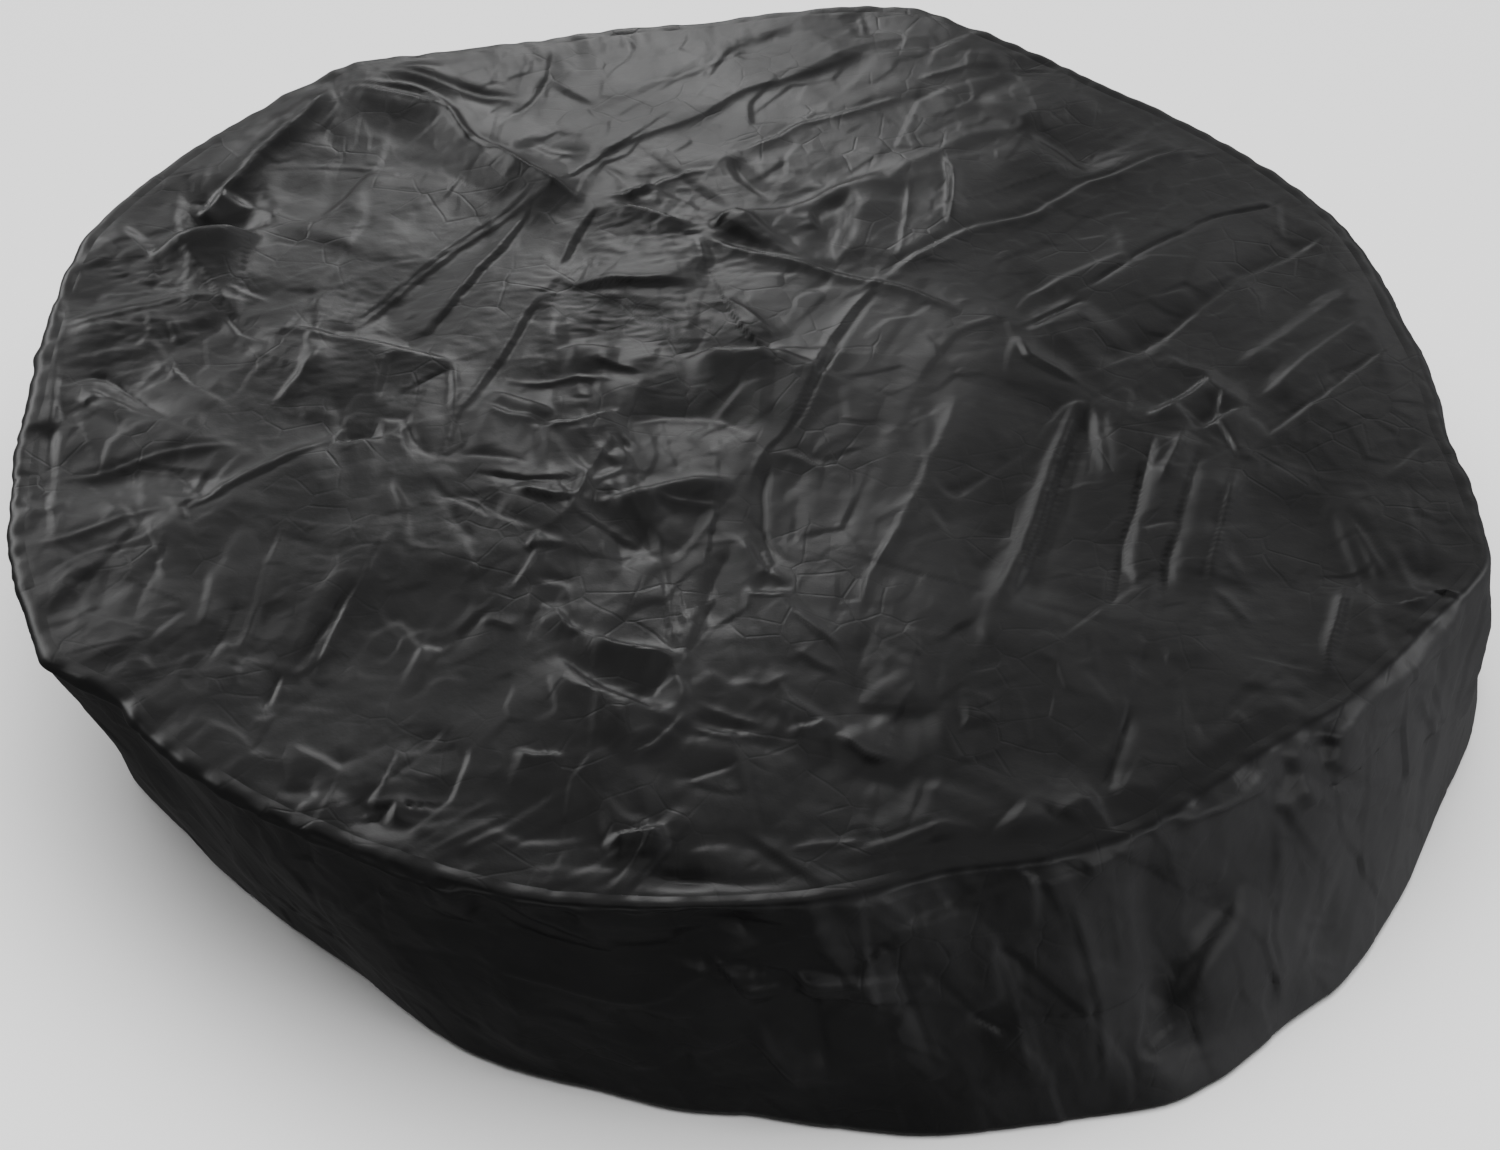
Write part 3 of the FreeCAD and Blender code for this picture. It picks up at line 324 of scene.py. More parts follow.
    (-0.09, 1.11, 3.5, -1.2, [(126, -303), (135, -292), (145, -287)]),
    (0.01, 0.00, 0.1, 0.5, [(123, -303), (130, -309), (133, -311)]),
    (-0.00, -0.00, 0.0, -0.4, [(144, -295), (149, -307), (162, -306)]),
    (0.00, 0.28, 1.8, 3.5, [(165, -302), (174, -291), (195, -281), (222, -257), (248, -240), (258, -234)]),
    (0.05, -0.12, 0.6, 0.9, [(182, -263), (181, -283)]),
    (0.35, -0.08, -0.3, -0.1, [(185, -223), (184, -237), (184, -247)]),
    (0.02, 0.36, 1.2, -0.3, [(41, -336), (56, -327), (76, -326), (96, -322)]),
    (0.00, 0.00, 0.0, 0.0, [(63, -329), (64, -340)]),
    (0.00, 0.00, 0.0, 0.0, [(67, -328), (69, -338)]),
    (0.00, 0.00, -0.0, 0.8, [(77, -326), (77, -336)]),
    (0.42, -0.61, -0.1, -0.1, [(273, -92), (276, -118), (279, -149), (279, -177), (281, -201)]),
    (0.86, -1.16, -0.1, 1.5, [(274, -132), (266, -156), (259, -181), (253, -199)]),
    (-0.13, -0.79, -0.4, 0.0, [(275, -88), (282, -106), (288, -130), (295, -151)]),
    (0.08, 0.02, 0.0, 0.8, [(291, -85), (294, -109), (296, -129), (299, -146)]),
    (0.00, -0.09, -1.2, -4.3, [(299, -148), (309, -146), (305, -157), (296, -165)]),
    (0.05, -0.01, 0.0, -0.9, [(252, -200), (249, -211), (246, -225)]),
]
SWELLS = [
    (-250, 169, 37, 41, -3.6),
    (-189, 209, 38, 38, -4.0),
    (-299, 131, 31, 27, 1.4),
    (-298, 51, 30, 25, -0.4),
    (-337, 42, 30, 33, -0.4),
    (-66, 117, 26, 26, -1.3),
    (-61, -34, 29, 31, -2.0),
    (-31, -102, 28, 29, -0.0),
    (-94, -160, 32, 34, 0.3),
    (-58, -131, 18, 21, -0.7),
    (30, -100, 23, 36, -2.8),
    (29, -172, 27, 33, -0.4),
    (-91, -221, 39, 25, 1.4),
    (-139, -228, 35, 38, -2.7),
    (-195, -203, 26, 39, -2.1),
    (-290, -135, 23, 41, 1.8),
    (-313, -77, 23, 22, -4.0),
    (-247, -68, 33, 22, 1.0),
    (-168, -43, 24, 30, 0.5),
    (59, -224, 26, 38, 0.2),
    (155, -127, 23, 49, -2.6),
    (101, -99, 23, 43, -4.0),
    (220, -133, 27, 48, -2.2),
    (128, -255, 26, 30, -0.3),
    (267, -125, 18, 35, -3.9),
    (59, 166, 26, 46, -1.1),
    (16, 119, 26, 26, 0.3),
    (148, 131, 31, 44, -1.5),
    (213, 96, 31, 34, 3.2),
    (-38, 253, 44, 40, -1.2),
    (-88, -271, 43, 24, 2.6),
    (-185, -291, 38, 17, -1.7),
    (-26, -324, 37, 14, -2.6),
    (100, -305, 25, 17, 4.0),
]

# Creases of the band's near side, the same way, through (angle, height above the floor); plus stands out.
BAND_CREASES = [
    (-1.00, -0.00, -1.0, -0.0, [(224.8, 148), (228.8, 149), (231.2, 148)]),
    (-0.80, 0.21, 0.9, 1.0, [(234.2, 147), (228.5, 100), (220.2, 40)]),
    (1.09, 0.03, 1.0, -1.6, [(230.5, 86), (236.8, 126), (239.8, 149)]),
    (-0.86, -0.18, 0.2, 0.7, [(241.0, 148), (237.5, 110)]),
    (0.97, 0.08, 0.5, 0.4, [(240.0, 119), (237.0, 93), (236.2, 76), (235.5, 53), (235.2, 34)]),
    (1.51, 0.26, 0.4, -0.3, [(236.8, 79), (244.2, 122), (248.0, 136), (249.0, 114)]),
    (1.04, -0.56, 1.0, 2.5, [(218.8, 32), (226.8, 46), (235.0, 57), (236.0, 55)]),
    (-0.85, -0.69, -0.4, 0.6, [(224.0, 26), (230.5, 37), (236.2, 48)]),
    (0.20, -0.54, -2.7, 0.6, [(240.8, 76), (246.5, 85), (251.2, 88)]),
    (-0.98, -0.44, -1.6, -3.2, [(253.5, 149), (251.0, 115)]),
    (0.28, 1.50, 2.4, -2.3, [(248.5, 93), (250.8, 88), (254.5, 86), (258.5, 83), (262.2, 86), (267.8, 110), (273.0, 126), (276.5, 136), (278.2, 140)]),
    (0.65, 0.61, -6.5, 1.8, [(245.2, 109), (250.5, 115), (256.2, 115), (261.8, 116), (268.0, 131), (272.5, 136), (275.8, 140)]),
    (-1.48, -0.15, 6.1, -1.4, [(252.5, 86), (250.8, 58), (247.5, 10)]),
    (-1.09, -0.18, -1.4, -0.3, [(258.5, 82), (258.8, 65), (258.8, 49)]),
    (-1.45, -0.88, -2.2, 1.9, [(263.5, 79), (260.8, 28)]),
    (-0.85, -0.59, -0.8, 1.8, [(262.5, 79), (260.2, 42)]),
    (0.65, 1.50, 0.9, 4.1, [(266.8, 72), (268.2, 56), (269.5, 28)]),
    (0.08, 1.28, 2.9, -5.5, [(270.8, 114), (270.0, 95), (268.0, 92)]),
    (-1.25, 0.84, 3.8, 5.5, [(273.2, 112), (272.5, 94)]),
    (-0.06, 1.50, -6.5, -0.3, [(273.8, 100), (273.0, 71), (272.2, 37)]),
    (-0.89, 1.50, 0.4, -0.9, [(277.5, 98), (275.5, 91), (273.0, 71)]),
    (0.71, 1.07, -2.1, -0.5, [(275.2, 124), (280.0, 122), (279.8, 110)]),
    (-0.99, -0.33, -0.6, -2.2, [(253.2, 149), (250.8, 113)]),
    (-1.16, -0.21, -0.2, 0.2, [(251.8, 112), (250.5, 93)]),
    (-1.10, 0.01, -0.4, 2.2, [(259.8, 149), (259.5, 133)]),
    (-0.54, 0.26, -2.3, 2.6, [(271.2, 148), (270.2, 125)]),
    (1.10, -0.87, -1.5, -1.9, [(279.8, 125), (281.5, 127), (284.5, 130), (287.0, 134), (290.8, 141), (293.5, 146)]),
    (0.06, -0.22, 2.0, 1.0, [(293.8, 137), (296.8, 141), (300.2, 149)]),
    (-0.14, 0.78, -2.9, -1.4, [(280.0, 122), (280.0, 94), (280.0, 64), (279.8, 38)]),
    (0.56, 0.12, 1.5, -1.4, [(287.5, 128), (287.0, 118), (287.2, 92), (286.5, 58), (286.0, 22)]),
    (0.42, 0.22, 0.5, 0.1, [(287.5, 114), (287.8, 88), (287.2, 58), (286.8, 22)]),
    (0.39, 1.17, 1.3, -1.5, [(293.2, 136), (293.2, 111), (292.8, 82), (292.0, 49), (291.0, 16)]),
    (0.68, -0.26, -1.5, 0.9, [(296.5, 129), (296.0, 103), (295.2, 77)]),
    (0.44, 0.48, -5.1, -2.8, [(299.8, 141), (298.2, 106), (297.5, 78), (296.5, 47), (296.5, 20), (296.0, 7)]),
    (-1.23, -0.09, -1.6, 5.5, [(307.2, 99), (304.5, 83), (301.2, 71), (296.8, 44)]),
    (-0.13, 1.38, 2.3, -0.1, [(311.0, 122), (310.2, 98), (308.5, 78), (306.8, 63), (307.0, 36), (306.8, 10)]),
    (-1.39, 1.24, 0.8, -1.6, [(310.8, 96), (309.0, 76), (307.5, 60), (307.8, 28)]),
    (1.00, -1.00, 4.0, 3.7, [(301.8, 146), (307.2, 142), (313.5, 136)]),
    (-1.10, 0.81, 1.4, 4.2, [(317.2, 149), (317.5, 138), (316.0, 130)]),
    (-0.52, -0.13, 1.7, -3.8, [(311.0, 123), (313.2, 128), (315.0, 133)]),
    (1.09, -0.58, 1.8, 2.4, [(312.8, 118), (316.0, 117), (314.8, 108)]),
    (1.48, -1.50, -4.4, 1.2, [(296.2, 70), (297.0, 66), (294.5, 37), (294.8, 28), (296.8, 22)]),
    (1.70, -0.31, -3.7, 0.2, [(310.5, 56), (315.0, 32)]),
    (1.70, 0.32, -3.5, -3.1, [(310.2, 32), (314.0, 11)]),
    (-1.70, -1.50, -1.5, 0.3, [(283.5, 74), (284.8, 64), (286.2, 59)]),
    (-1.10, -0.19, -4.0, -4.2, [(324.2, 148), (329.5, 149), (336.0, 149)]),
    (0.55, -0.30, 3.1, 3.8, [(323.2, 134), (327.8, 136), (331.2, 133), (336.5, 127)]),
    (-0.84, 0.80, 1.1, -4.0, [(327.2, 116), (329.8, 123), (333.0, 122)]),
    (0.52, 0.76, -0.7, 0.1, [(322.8, 133), (323.8, 123), (327.0, 116)]),
    (-0.96, 0.89, 1.1, -2.0, [(327.5, 108), (334.0, 74)]),
    (1.02, -0.42, 0.5, 5.0, [(329.5, 88), (334.0, 70)]),
]


# ---------------------------------------------------------------- small tools
def smoothstep(t):
    t = np.clip(t, 0.0, 1.0)
    return t * t * (3 - 2 * t)


def around(rows, blur=1.0):
    """A smooth radius for any angle in radians, from (degrees, radius) rows."""
    rows = sorted(rows)
    a = np.array([r[0] for r in rows], float)
    v = np.array([r[1] for r in rows], float)
    a = np.concatenate([a[-1:] - 360, a, a[:1] + 360])
    v = np.concatenate([v[-1:], v, v[:1]])
    deg = np.arange(0, 360, 0.25)
    val = np.interp(deg, a, v)
    off = np.arange(-24, 25)
    w = np.exp(-0.5 * (off * 0.25 / blur) ** 2)
    w /= w.sum()
    out = sum(wi * np.roll(val, o) for wi, o in zip(w, off))
    return lambda t: np.interp(np.mod(np.degrees(t), 360), np.append(deg, 360), np.append(out, out[0]))


rim_r = around(RIM)
foot_r = around(FOOT)


def noise(x, y, size, seed, wrap=None):
    """Gradient noise, about -1 to 1. wrap is the number of cells before x repeats."""
    rng = np.random.default_rng(seed)
    n = 256
    ang = rng.uniform(0, TAU, (n, n))
    gx, gy = np.cos(ang), np.sin(ang)
    x = np.asarray(x, float) / size
    y = np.asarray(y, float) / size
    xi, yi = np.floor(x).astype(int), np.floor(y).astype(int)
    fx, fy = x - xi, y - yi
    u, v = fx * fx * fx * (fx * (fx * 6 - 15) + 10), fy * fy * fy * (fy * (fy * 6 - 15) + 10)

    def corner(i, j):
        a = xi + i
        if wrap:
            a = np.mod(a, wrap)
        a, b = np.mod(a, n), np.mod(yi + j, n)
        return gx[a, b] * (fx - i) + gy[a, b] * (fy - j)

    top = corner(0, 0) * (1 - u) + corner(1, 0) * u
    low = corner(0, 1) * (1 - u) + corner(1, 1) * u
    return (top * (1 - v) + low * v) * 1.5


def rounded(pts, seed, jitter=0.3):
    """A polyline made a little irregular and rounded, because cloth never creases dead straight."""
    p = np.array(pts, float)
    if len(p) < 2:
        return p
    rng = np.random.default_rng(seed)
    out = []
    q = np.vstack([2 * p[0] - p[1], p, 2 * p[-1] - p[-2]])
    for k in range(len(p) - 1):
        a, b, c, d = q[k], q[k + 1], q[k + 2], q[k + 3]
        n = max(2, int(np.hypot(*(c - b)) / 9))
        for t in np.arange(n) / n:
            out.append(0.5 * (2 * b + (c - a) * t + (2 * a - 5 * b + 4 * c - d) * t * t + (3 * b - a - 3 * c + d) * t ** 3))
    out.append(p[-1])
    out = np.array(out)
    out[1:-1] += rng.normal(0, jitter, out[1:-1].shape)
    return out


def crease(P, h, kind, a, w, b, c, pts, seed, gain=1.0):
    """Adds one ridge, valley or step to the heights h at the points P."""
    line = rounded(pts, seed)
    reach = max(4.0 * w, 4.5 * c, 6) if kind != "S" else max(4 * w, 3.2 * b)
    if kind == "S":
        a_, ramp, decay = a, w, b
        reach = max(4 * ramp, 3.2 * decay)
    lo, hi = line.min(0) - reach, line.max(0) + reach
    idx = np.nonzero((P[:, 0] > lo[0]) & (P[:, 0] < hi[0]) & (P[:, 1] > lo[1]) & (P[:, 1] < hi[1]))[0]
    if not len(idx):
        return
    Q = P[idx]
    best = np.full(len(Q), 1e9)
    side = np.zeros(len(Q))
    along = np.zeros(len(Q))
    seg = np.diff(line, axis=0)
    L = np.hypot(seg[:, 0], seg[:, 1])
    cum = np.concatenate([[0], np.cumsum(L)])
    total = cum[-1]
    for k in range(len(seg)):
        if L[k] < 1e-6:
            continue
        t = np.clip(((Q - line[k]) @ seg[k]) / L[k] ** 2, 0, 1)
        d = Q - line[k] - t[:, None] * seg[k]
        dist = np.hypot(d[:, 0], d[:, 1])
        m = dist < best
        best[m] = dist[m]
        along[m] = (cum[k] + t * L[k])[m]
        cross = seg[k, 0] * (Q[:, 1] - line[k, 1]) - seg[k, 1] * (Q[:, 0] - line[k, 0])
        side[m] = np.sign(cross)[m]
    end = min(26.0, 0.32 * total) + 1e-6
    taper = smoothstep(along / end) * smoothstep((total - along) / end)
    if kind == "S":
        d = side * best * (1 if line[-1, 0] >= line[0, 0] else -1)
        val = a_ * (0.5 + 0.5 * np.tanh(d / ramp)) * np.exp(-np.maximum(d, 0) / decay)
        h[idx] += gain * val * taper
        return
    sign = 1 if kind == "R" else -1
    vary = 0.8 + 0.35 * np.sin(along * 0.11 + seed)
    val = a * vary * np.exp(-best / max(w, 0.1))
    if b:
        val += b * np.exp(-np.sqrt((best / c) ** 2 + 0.03) * 1.0) * 1.19
    h[idx] += gain * sign * val * taper


def face_crease(P, h, fine, step, wide, tilt, pts, seed):
    """Adds one crease of the face to the heights h: a fine and a broad ridge and a fine and a broad step along one line."""
    line = rounded(pts, seed)
    reach = 30.0 + 7 * abs(wide) + 11 * abs(tilt)
    lo, hi = line.min(0) - reach, line.max(0) + reach
    idx = np.nonzero((P[:, 0] > lo[0]) & (P[:, 0] < hi[0]) & (P[:, 1] > lo[1]) & (P[:, 1] < hi[1]))[0]
    if not len(idx):
        return
    Q = P[idx]
    best, side, along = np.full(len(Q), 1e9), np.zeros(len(Q)), np.zeros(len(Q))
    seg = np.diff(line, axis=0)
    L = np.hypot(seg[:, 0], seg[:, 1])
    cum = np.concatenate([[0], np.cumsum(L)])
    total = cum[-1]
    for k in range(len(seg)):
        if L[k] < 1e-6:
            continue
        t = np.clip(((Q - line[k]) @ seg[k]) / L[k] ** 2, 0, 1)
        d = Q - line[k] - t[:, None] * seg[k]
        dist = np.hypot(d[:, 0], d[:, 1])
        m = dist < best
        best[m] = dist[m]
        along[m] = (cum[k] + t * L[k])[m]
        side[m] = np.sign(seg[k, 0] * (Q[:, 1] - line[k, 1]) - seg[k, 1] * (Q[:, 0] - line[k, 0]))[m]
    end = min(26.0, 0.32 * total) + 1e-6
    taper = smoothstep(along / end) * smoothstep((total - along) / end) * smoothstep((reach - best) / 12.0)
    d = side * best
    h[idx] += taper * (fine * np.exp(-best / 2.2) + step * np.tanh(d / 2.0) * np.exp(-best / 9.0)
                       + wide * np.exp(-np.sqrt((best / 13.0) ** 2 + 0.03)) + tilt * np.tanh(d / 6.0) * np.exp(-best / 32.0))


def facets(P, cells, angle, length, width, slope, seed, sharp=7.0, tile=60.0):
    """Flat little panels with soft folds between them, long along angle: how a thin coated cloth crumples."""
    rng = np.random.default_rng(seed)
    n = len(cells)
    ca, sa = np.cos(angle), np.sin(angle)
    across = rng.normal(0, slope, n)
    down = rng.normal(0, slope * 0.35, n)
    base = rng.normal(0, slope * width * 0.35, n)
    out = np.zeros(len(P))
    tx, ty = np.floor(P[:, 0] / tile).astype(int), np.floor(P[:, 1] / tile).astype(int)
    key = tx * 100000 + ty
    order = np.argsort(key, kind="stable")
    cuts = np.nonzero(np.diff(key[order]))[0] + 1
    for group in np.split(order, cuts):
        lo, hi = P[group].min(0) - 2.2 * length, P[group].max(0) + 2.2 * length
        near = np.nonzero((cells[:, 0] > lo[0]) & (cells[:, 0] < hi[0]) & (cells[:, 1] > lo[1]) & (cells[:, 1] < hi[1]))[0]
        if not len(near):
            continue
        dx = P[group, 0][:, None] - cells[near, 0]
        dy = P[group, 1][:, None] - cells[near, 1]
        u = dx * ca[near] + dy * sa[near]
        v = -dx * sa[near] + dy * ca[near]
        d2 = (u / length) ** 2 + (v / width) ** 2
        wgt = np.exp(-sharp * (d2 - d2.min(1, keepdims=True)))
        plane = base[near] + across[near] * v + down[near] * u
        plane = np.clip(plane, -slope * width * 2.5, slope * width * 2.5)
        out[group] = (wgt * plane).sum(1) / wgt.sum(1)
    return out


def scatter(x0, x1, y0, y1, step_x, step_y, seed):
    rng = np.random.default_rng(seed)
    gx, gy = np.meshgrid(np.arange(x0, x1, step_x), np.arange(y0, y1, step_y))
    gx = gx + rng.uniform(-0.5, 0.5, gx.shape) * step_x
    gy = gy + rng.uniform(-0.5, 0.5, gy.shape) * step_y
    return np.stack([gx.ravel(), gy.ravel()], 1)


def blob(P, x, y, rx, ry, turn=0.0):
    c, s = math.cos(math.radians(turn)), math.sin(math.radians(turn))
    dx, dy = P[:, 0] - x, P[:, 1] - y
    return np.exp(-0.5 * (((dx * c + dy * s) / rx) ** 2 + ((-dx * s + dy * c) / ry) ** 2))


def make_mesh(name, verts_mm, faces, material, smooth=True):
    me = bpy.data.meshes.new(name)
    v = np.ascontiguousarray(np.asarray(verts_mm, float) / 1000.0)
    faces = np.asarray(faces, int)
    me.vertices.add(len(v))
    me.vertices.foreach_set("co", v.ravel())
    k = faces.shape[1]
    me.loops.add(faces.size)
    me.loops.foreach_set("vertex_index", faces.ravel())
    me.polygons.add(len(faces))
    me.polygons.foreach_set("loop_start", np.arange(0, faces.size, k))
    me.polygons.foreach_set("loop_total", np.full(len(faces), k))
    me.update(calc_edges=True)
    me.validate()
    me.polygons.foreach_set("use_smooth", np.full(len(me.polygons), smooth))
    me.materials.append(material)
    ob = bpy.data.objects.new(name, me)
    bpy.context.scene.collection.objects.link(ob)
    return ob


def grid_faces(rows, cols, close_cols=False, close_rows=False, flip=False):
    """Quads of a rows x cols grid of vertices stored row by row."""
    r = np.arange(rows if close_rows else rows - 1)
    c = np.arange(cols if close_cols else cols - 1)
    R, C = np.meshgrid(r, c, indexing="ij")
    R2, C2 = (R + 1) % rows, (C + 1) % cols
    q = np.stack([R * cols + C, R * cols + C2, R2 * cols + C2, R2 * cols + C], -1).reshape(-1, 4)
    return q[:, ::-1] if flip else q


# ---------------------------------------------------------------- materials
def cloth_material(name, base, rough, weave=0.10, crinkle=0.35, coat=0.0, sheen=0.0, spec=0.5, hair=0.0):
    m = bpy.data.materials.new(name)
    m.use_nodes = True
    nt = m.node_tree
    nt.nodes.clear()
    out = nt.nodes.new("ShaderNodeOutputMaterial")
    bsdf = nt.nodes.new("ShaderNodeBsdfPrincipled")
    nt.links.new(bsdf.outputs["BSDF"], out.inputs["Surface"])
    co = nt.nodes.new("ShaderNodeTexCoord")

    def noise_node(scale, detail, rough_=0.5, distortion=0.0):
        n = nt.nodes.new("ShaderNodeTexNoise")
        n.inputs["Scale"].default_value = scale
        n.inputs["Detail"].default_value = detail
        n.inputs["Roughness"].default_value = rough_
        n.inputs["Distortion"].default_value = distortion
        nt.links.new(co.outputs["Object"], n.inputs["Vector"])
        return n

    # colour: nearly black, a little lighter where the coating is scuffed
    tone = noise_node(9.0, 6.0, 0.6)
    ramp = nt.nodes.new("ShaderNodeValToRGB")
    ramp.color_ramp.elements[0].position = 0.35
    ramp.color_ramp.elements[0].color = (*[c * 0.82 for c in base], 1)
    ramp.color_ramp.elements[1].position = 0.72
    ramp.color_ramp.elements[1].color = (*[c * 1.22 for c in base], 1)
    nt.links.new(tone.outputs["Fac"], ramp.inputs["Fac"])
    nt.links.new(ramp.outputs["Color"], bsdf.inputs["Base Color"])
    # roughness: worn unevenly
    wear = noise_node(14.0, 5.0, 0.55)
    mr = nt.nodes.new("ShaderNodeMapRange")
    mr.inputs["From Min"].default_value = 0.3
    mr.inputs["From Max"].default_value = 0.7
    mr.inputs["To Min"].default_value = rough - 0.04
    mr.inputs["To Max"].default_value = rough + 0.05
    nt.links.new(wear.outputs["Fac"], mr.inputs["Value"])
    nt.links.new(mr.outputs["Result"], bsdf.inputs["Roughness"])
    # fine crinkles, then the threads
    fine = noise_node(260.0, 4.0, 0.55, 0.5)
    b1 = nt.nodes.new("ShaderNodeBump")
    b1.inputs["Strength"].default_value = crinkle
    b1.inputs["Distance"].default_value = 0.0006
    nt.links.new(fine.outputs["Fac"], b1.inputs["Height"])
    # hairline creases, in patches
    warp = noise_node(16.0, 3.0, 0.5)
    mixv = nt.nodes.new("ShaderNodeMix")
    mixv.data_type = "VECTOR"
    mixv.inputs["Factor"].default_value = 0.010
    nt.links.new(co.outputs["Object"], mixv.inputs["A"])
    nt.links.new(warp.outputs["Color"], mixv.inputs["B"])
    cell = nt.nodes.new("ShaderNodeTexVoronoi")
    cell.feature = "DISTANCE_TO_EDGE"
    cell.inputs["Scale"].default_value = 48.0
    nt.links.new(mixv.outputs["Result"], cell.inputs["Vector"])
    line = nt.nodes.new("ShaderNodeMapRange")
    line.inputs["From Min"].default_value = 0.0
    line.inputs["From Max"].default_value = 0.05
    line.inputs["To Min"].default_value = 0.0
    line.inputs["To Max"].default_value = 1.0
    nt.links.new(cell.outputs["Distance"], line.inputs["Value"])
    patch = noise_node(21.0, 2.0, 0.5)
    some = nt.nodes.new("ShaderNodeMapRange")
    some.inputs["From Min"].default_value = 0.45
    some.inputs["From Max"].default_value = 0.65
    some.inputs["To Min"].default_value = 0.0
    some.inputs["To Max"].default_value = 1.0
    nt.links.new(patch.outputs["Fac"], some.inputs["Value"])
    hair_h = nt.nodes.new("ShaderNodeMath")
    hair_h.operation = "MULTIPLY"
    nt.links.new(line.outputs["Result"], hair_h.inputs[0])
    nt.links.new(some.outputs["Result"], hair_h.inputs[1])
    b0 = nt.nodes.new("ShaderNodeBump")
    b0.inputs["Strength"].default_value = hair
    b0.inputs["Distance"].default_value = 0.0006
    nt.links.new(hair_h.outputs["Value"], b0.inputs["Height"])
    nt.links.new(b0.outputs["Normal"], b1.inputs["Normal"])
    thread = noise_node(900.0, 2.0, 0.5)
    b2 = nt.nodes.new("ShaderNodeBump")
    b2.inputs["Strength"].default_value = weave
    b2.inputs["Distance"].default_value = 0.0003
    nt.links.new(thread.outputs["Fac"], b2.inputs["Height"])
    nt.links.new(b1.outputs["Normal"], b2.inputs["Normal"])
    nt.links.new(b2.outputs["Normal"], bsdf.inputs["Normal"])
    bsdf.inputs["Specular IOR Level"].default_value = spec
    bsdf.inputs["Coat Weight"].default_value = coat
    bsdf.inputs["Coat Roughness"].default_value = 0.30
    bsdf.inputs["Sheen Weight"].default_value = sheen
    bsdf.inputs["Sheen Roughness"].default_value = 0.5
    return m


COATED = cloth_material("coated_taffeta", (0.0085, 0.0085, 0.0088), 0.39, weave=0.08, crinkle=0.12, spec=0.28, hair=0.16)
BINDING = cloth_material("binding_tape", (0.0150, 0.0150, 0.0155), 0.62, weave=0.5, crinkle=0.25, sheen=0.1)
ELASTIC = cloth_material("knit_elastic", (0.0220, 0.0220, 0.0225), 0.70, weave=0.7, crinkle=0.2, sheen=0.15)
THREAD = cloth_material("sewing_thread", (0.0180, 0.0180, 0.0185), 0.50, weave=0.3, crinkle=0.1)


# ---------------------------------------------------------------- the face
def seam_ruck(s):
    """How hard the seam is drawn up at the unrolled place s: uneven, with calm stretches."""
    return 0.35 + 0.65 * smoothstep(0.5 + 0.9 * noise(s, 0 * s, 170.0, 71, wrap=13))


def pucker(s, seed, size=11.0):
    cells = int(round(TAU * GIRTH / size))
    size = TAU * GIRTH / cells
    return noise(s, 0 * s + 3.3, size, seed, wrap=cells)


def rim_drop(x):
    """How far the cloth has curved down at the distance x inside the rim, with the seam's own shallow groove."""
    x = np.asarray(x, float)
    q = np.clip(ROLL_R - x, 0, ROLL_R)
    return ROLL_R - np.sqrt(np.maximum(ROLL_R ** 2 - q ** 2, 0)) + 0.12 * np.exp(-((x - SEAM_INSET) / 1.4) ** 2)


def face_height(P, theta, inset):
    """Height in mm above the rim at the plan points P. inset is the distance in from the seam."""
    h = np.zeros(len(P))
    rho = 1 - inset / 350.0
    h += 5.0 * (1 - rho ** 2)
    h += 0.9 * noise(P[:, 0] + 900, P[:, 1] + 900, 120.0, 5) + 0.3 * noise(P[:, 0] + 900, P[:, 1] + 900, 62.0, 6)
    for i, (fine, step, wide, tilt, pts) in enumerate(FACE_CREASES):
        face_crease(P, h, fine, step, wide, tilt, pts, 100 + i)
    for x, y, rx, ry, amount in SWELLS:
        h += amount * blob(P, x, y, rx, ry)

    # the crumple: long panels that run the way the cloth was folded in each part
    def grain(c):
        right = smoothstep((c[:, 0] + 60) / 160)
        near = smoothstep((60 - c[:, 1]) / 160)
        g = 66 * (1 - right) + right * (50 * (1 - near) + 80 * near)
        return np.radians(g + 16 * noise(c[:, 0] + 900, c[:, 1] + 900, 90, 9))

    big = scatter(-420, 420, -420, 420, 44, 44, 21)
    mid = scatter(-420, 420, -420, 420, 21, 21, 22)
    small = scatter(-420, 420, -420, 420, 9.5, 9.5, 23)
    h += facets(P, big, grain(big) + np.random.default_rng(31).normal(0, 0.25, len(big)), 62, 30, 0.012, 41, 26)
    h += facets(P, mid, grain(mid) + np.random.default_rng(32).normal(0, 0.45, len(mid)), 30, 14, 0.012, 42, 26)
    calm = 0.45 + 0.75 * smoothstep(0.5 + 0.9 * noise(P[:, 0] + 900, P[:, 1] + 900, 75, 12))
    h += calm * facets(P, small, grain(small) + np.random.default_rng(33).normal(0, 0.8, len(small)), 13, 6.5, 0.012, 43, 16)
    # two patches of fine cross crinkles
    patch = np.clip(blob(P, -60, 95, 34, 62) * 1.5 + blob(P, -322, 66, 22, 34) * 1.3 + 0.6 * blob(P, -190, 40, 50, 50), 0, 1.1)
    cross = scatter(-420, 420, -420, 420, 8.0, 5.0, 24)
    h += patch * facets(P, cross, np.random.default_rng(34).normal(0.12, 0.3, len(cross)), 13, 4.2, 0.055, 44, 10)

    # drawn up along the seam, then turning down into it
    s = theta * GIRTH
    upper_left = np.exp(-0.5 * ((np.degrees(theta) - 128) / 24) ** 2)
    ruck = seam_ruck(s) * (1 + 1.6 * upper_left)
    h += ruck * 0.75 * pucker(s, 51, 9.5) * np.exp(-inset / 10.0) * smoothstep(inset / 2.0 + 0.35)
    h += ruck * 0.9 * pucker(s, 52, 21.0) * np.exp(-inset / 24.0)
    fade = smoothstep(inset / 16.0)
    h = h * fade + (1 - fade) * 1.2 * np.tanh(0.5 * h / 1.2)
    h -= rim_drop(inset + SEAM_INSET)
    return h


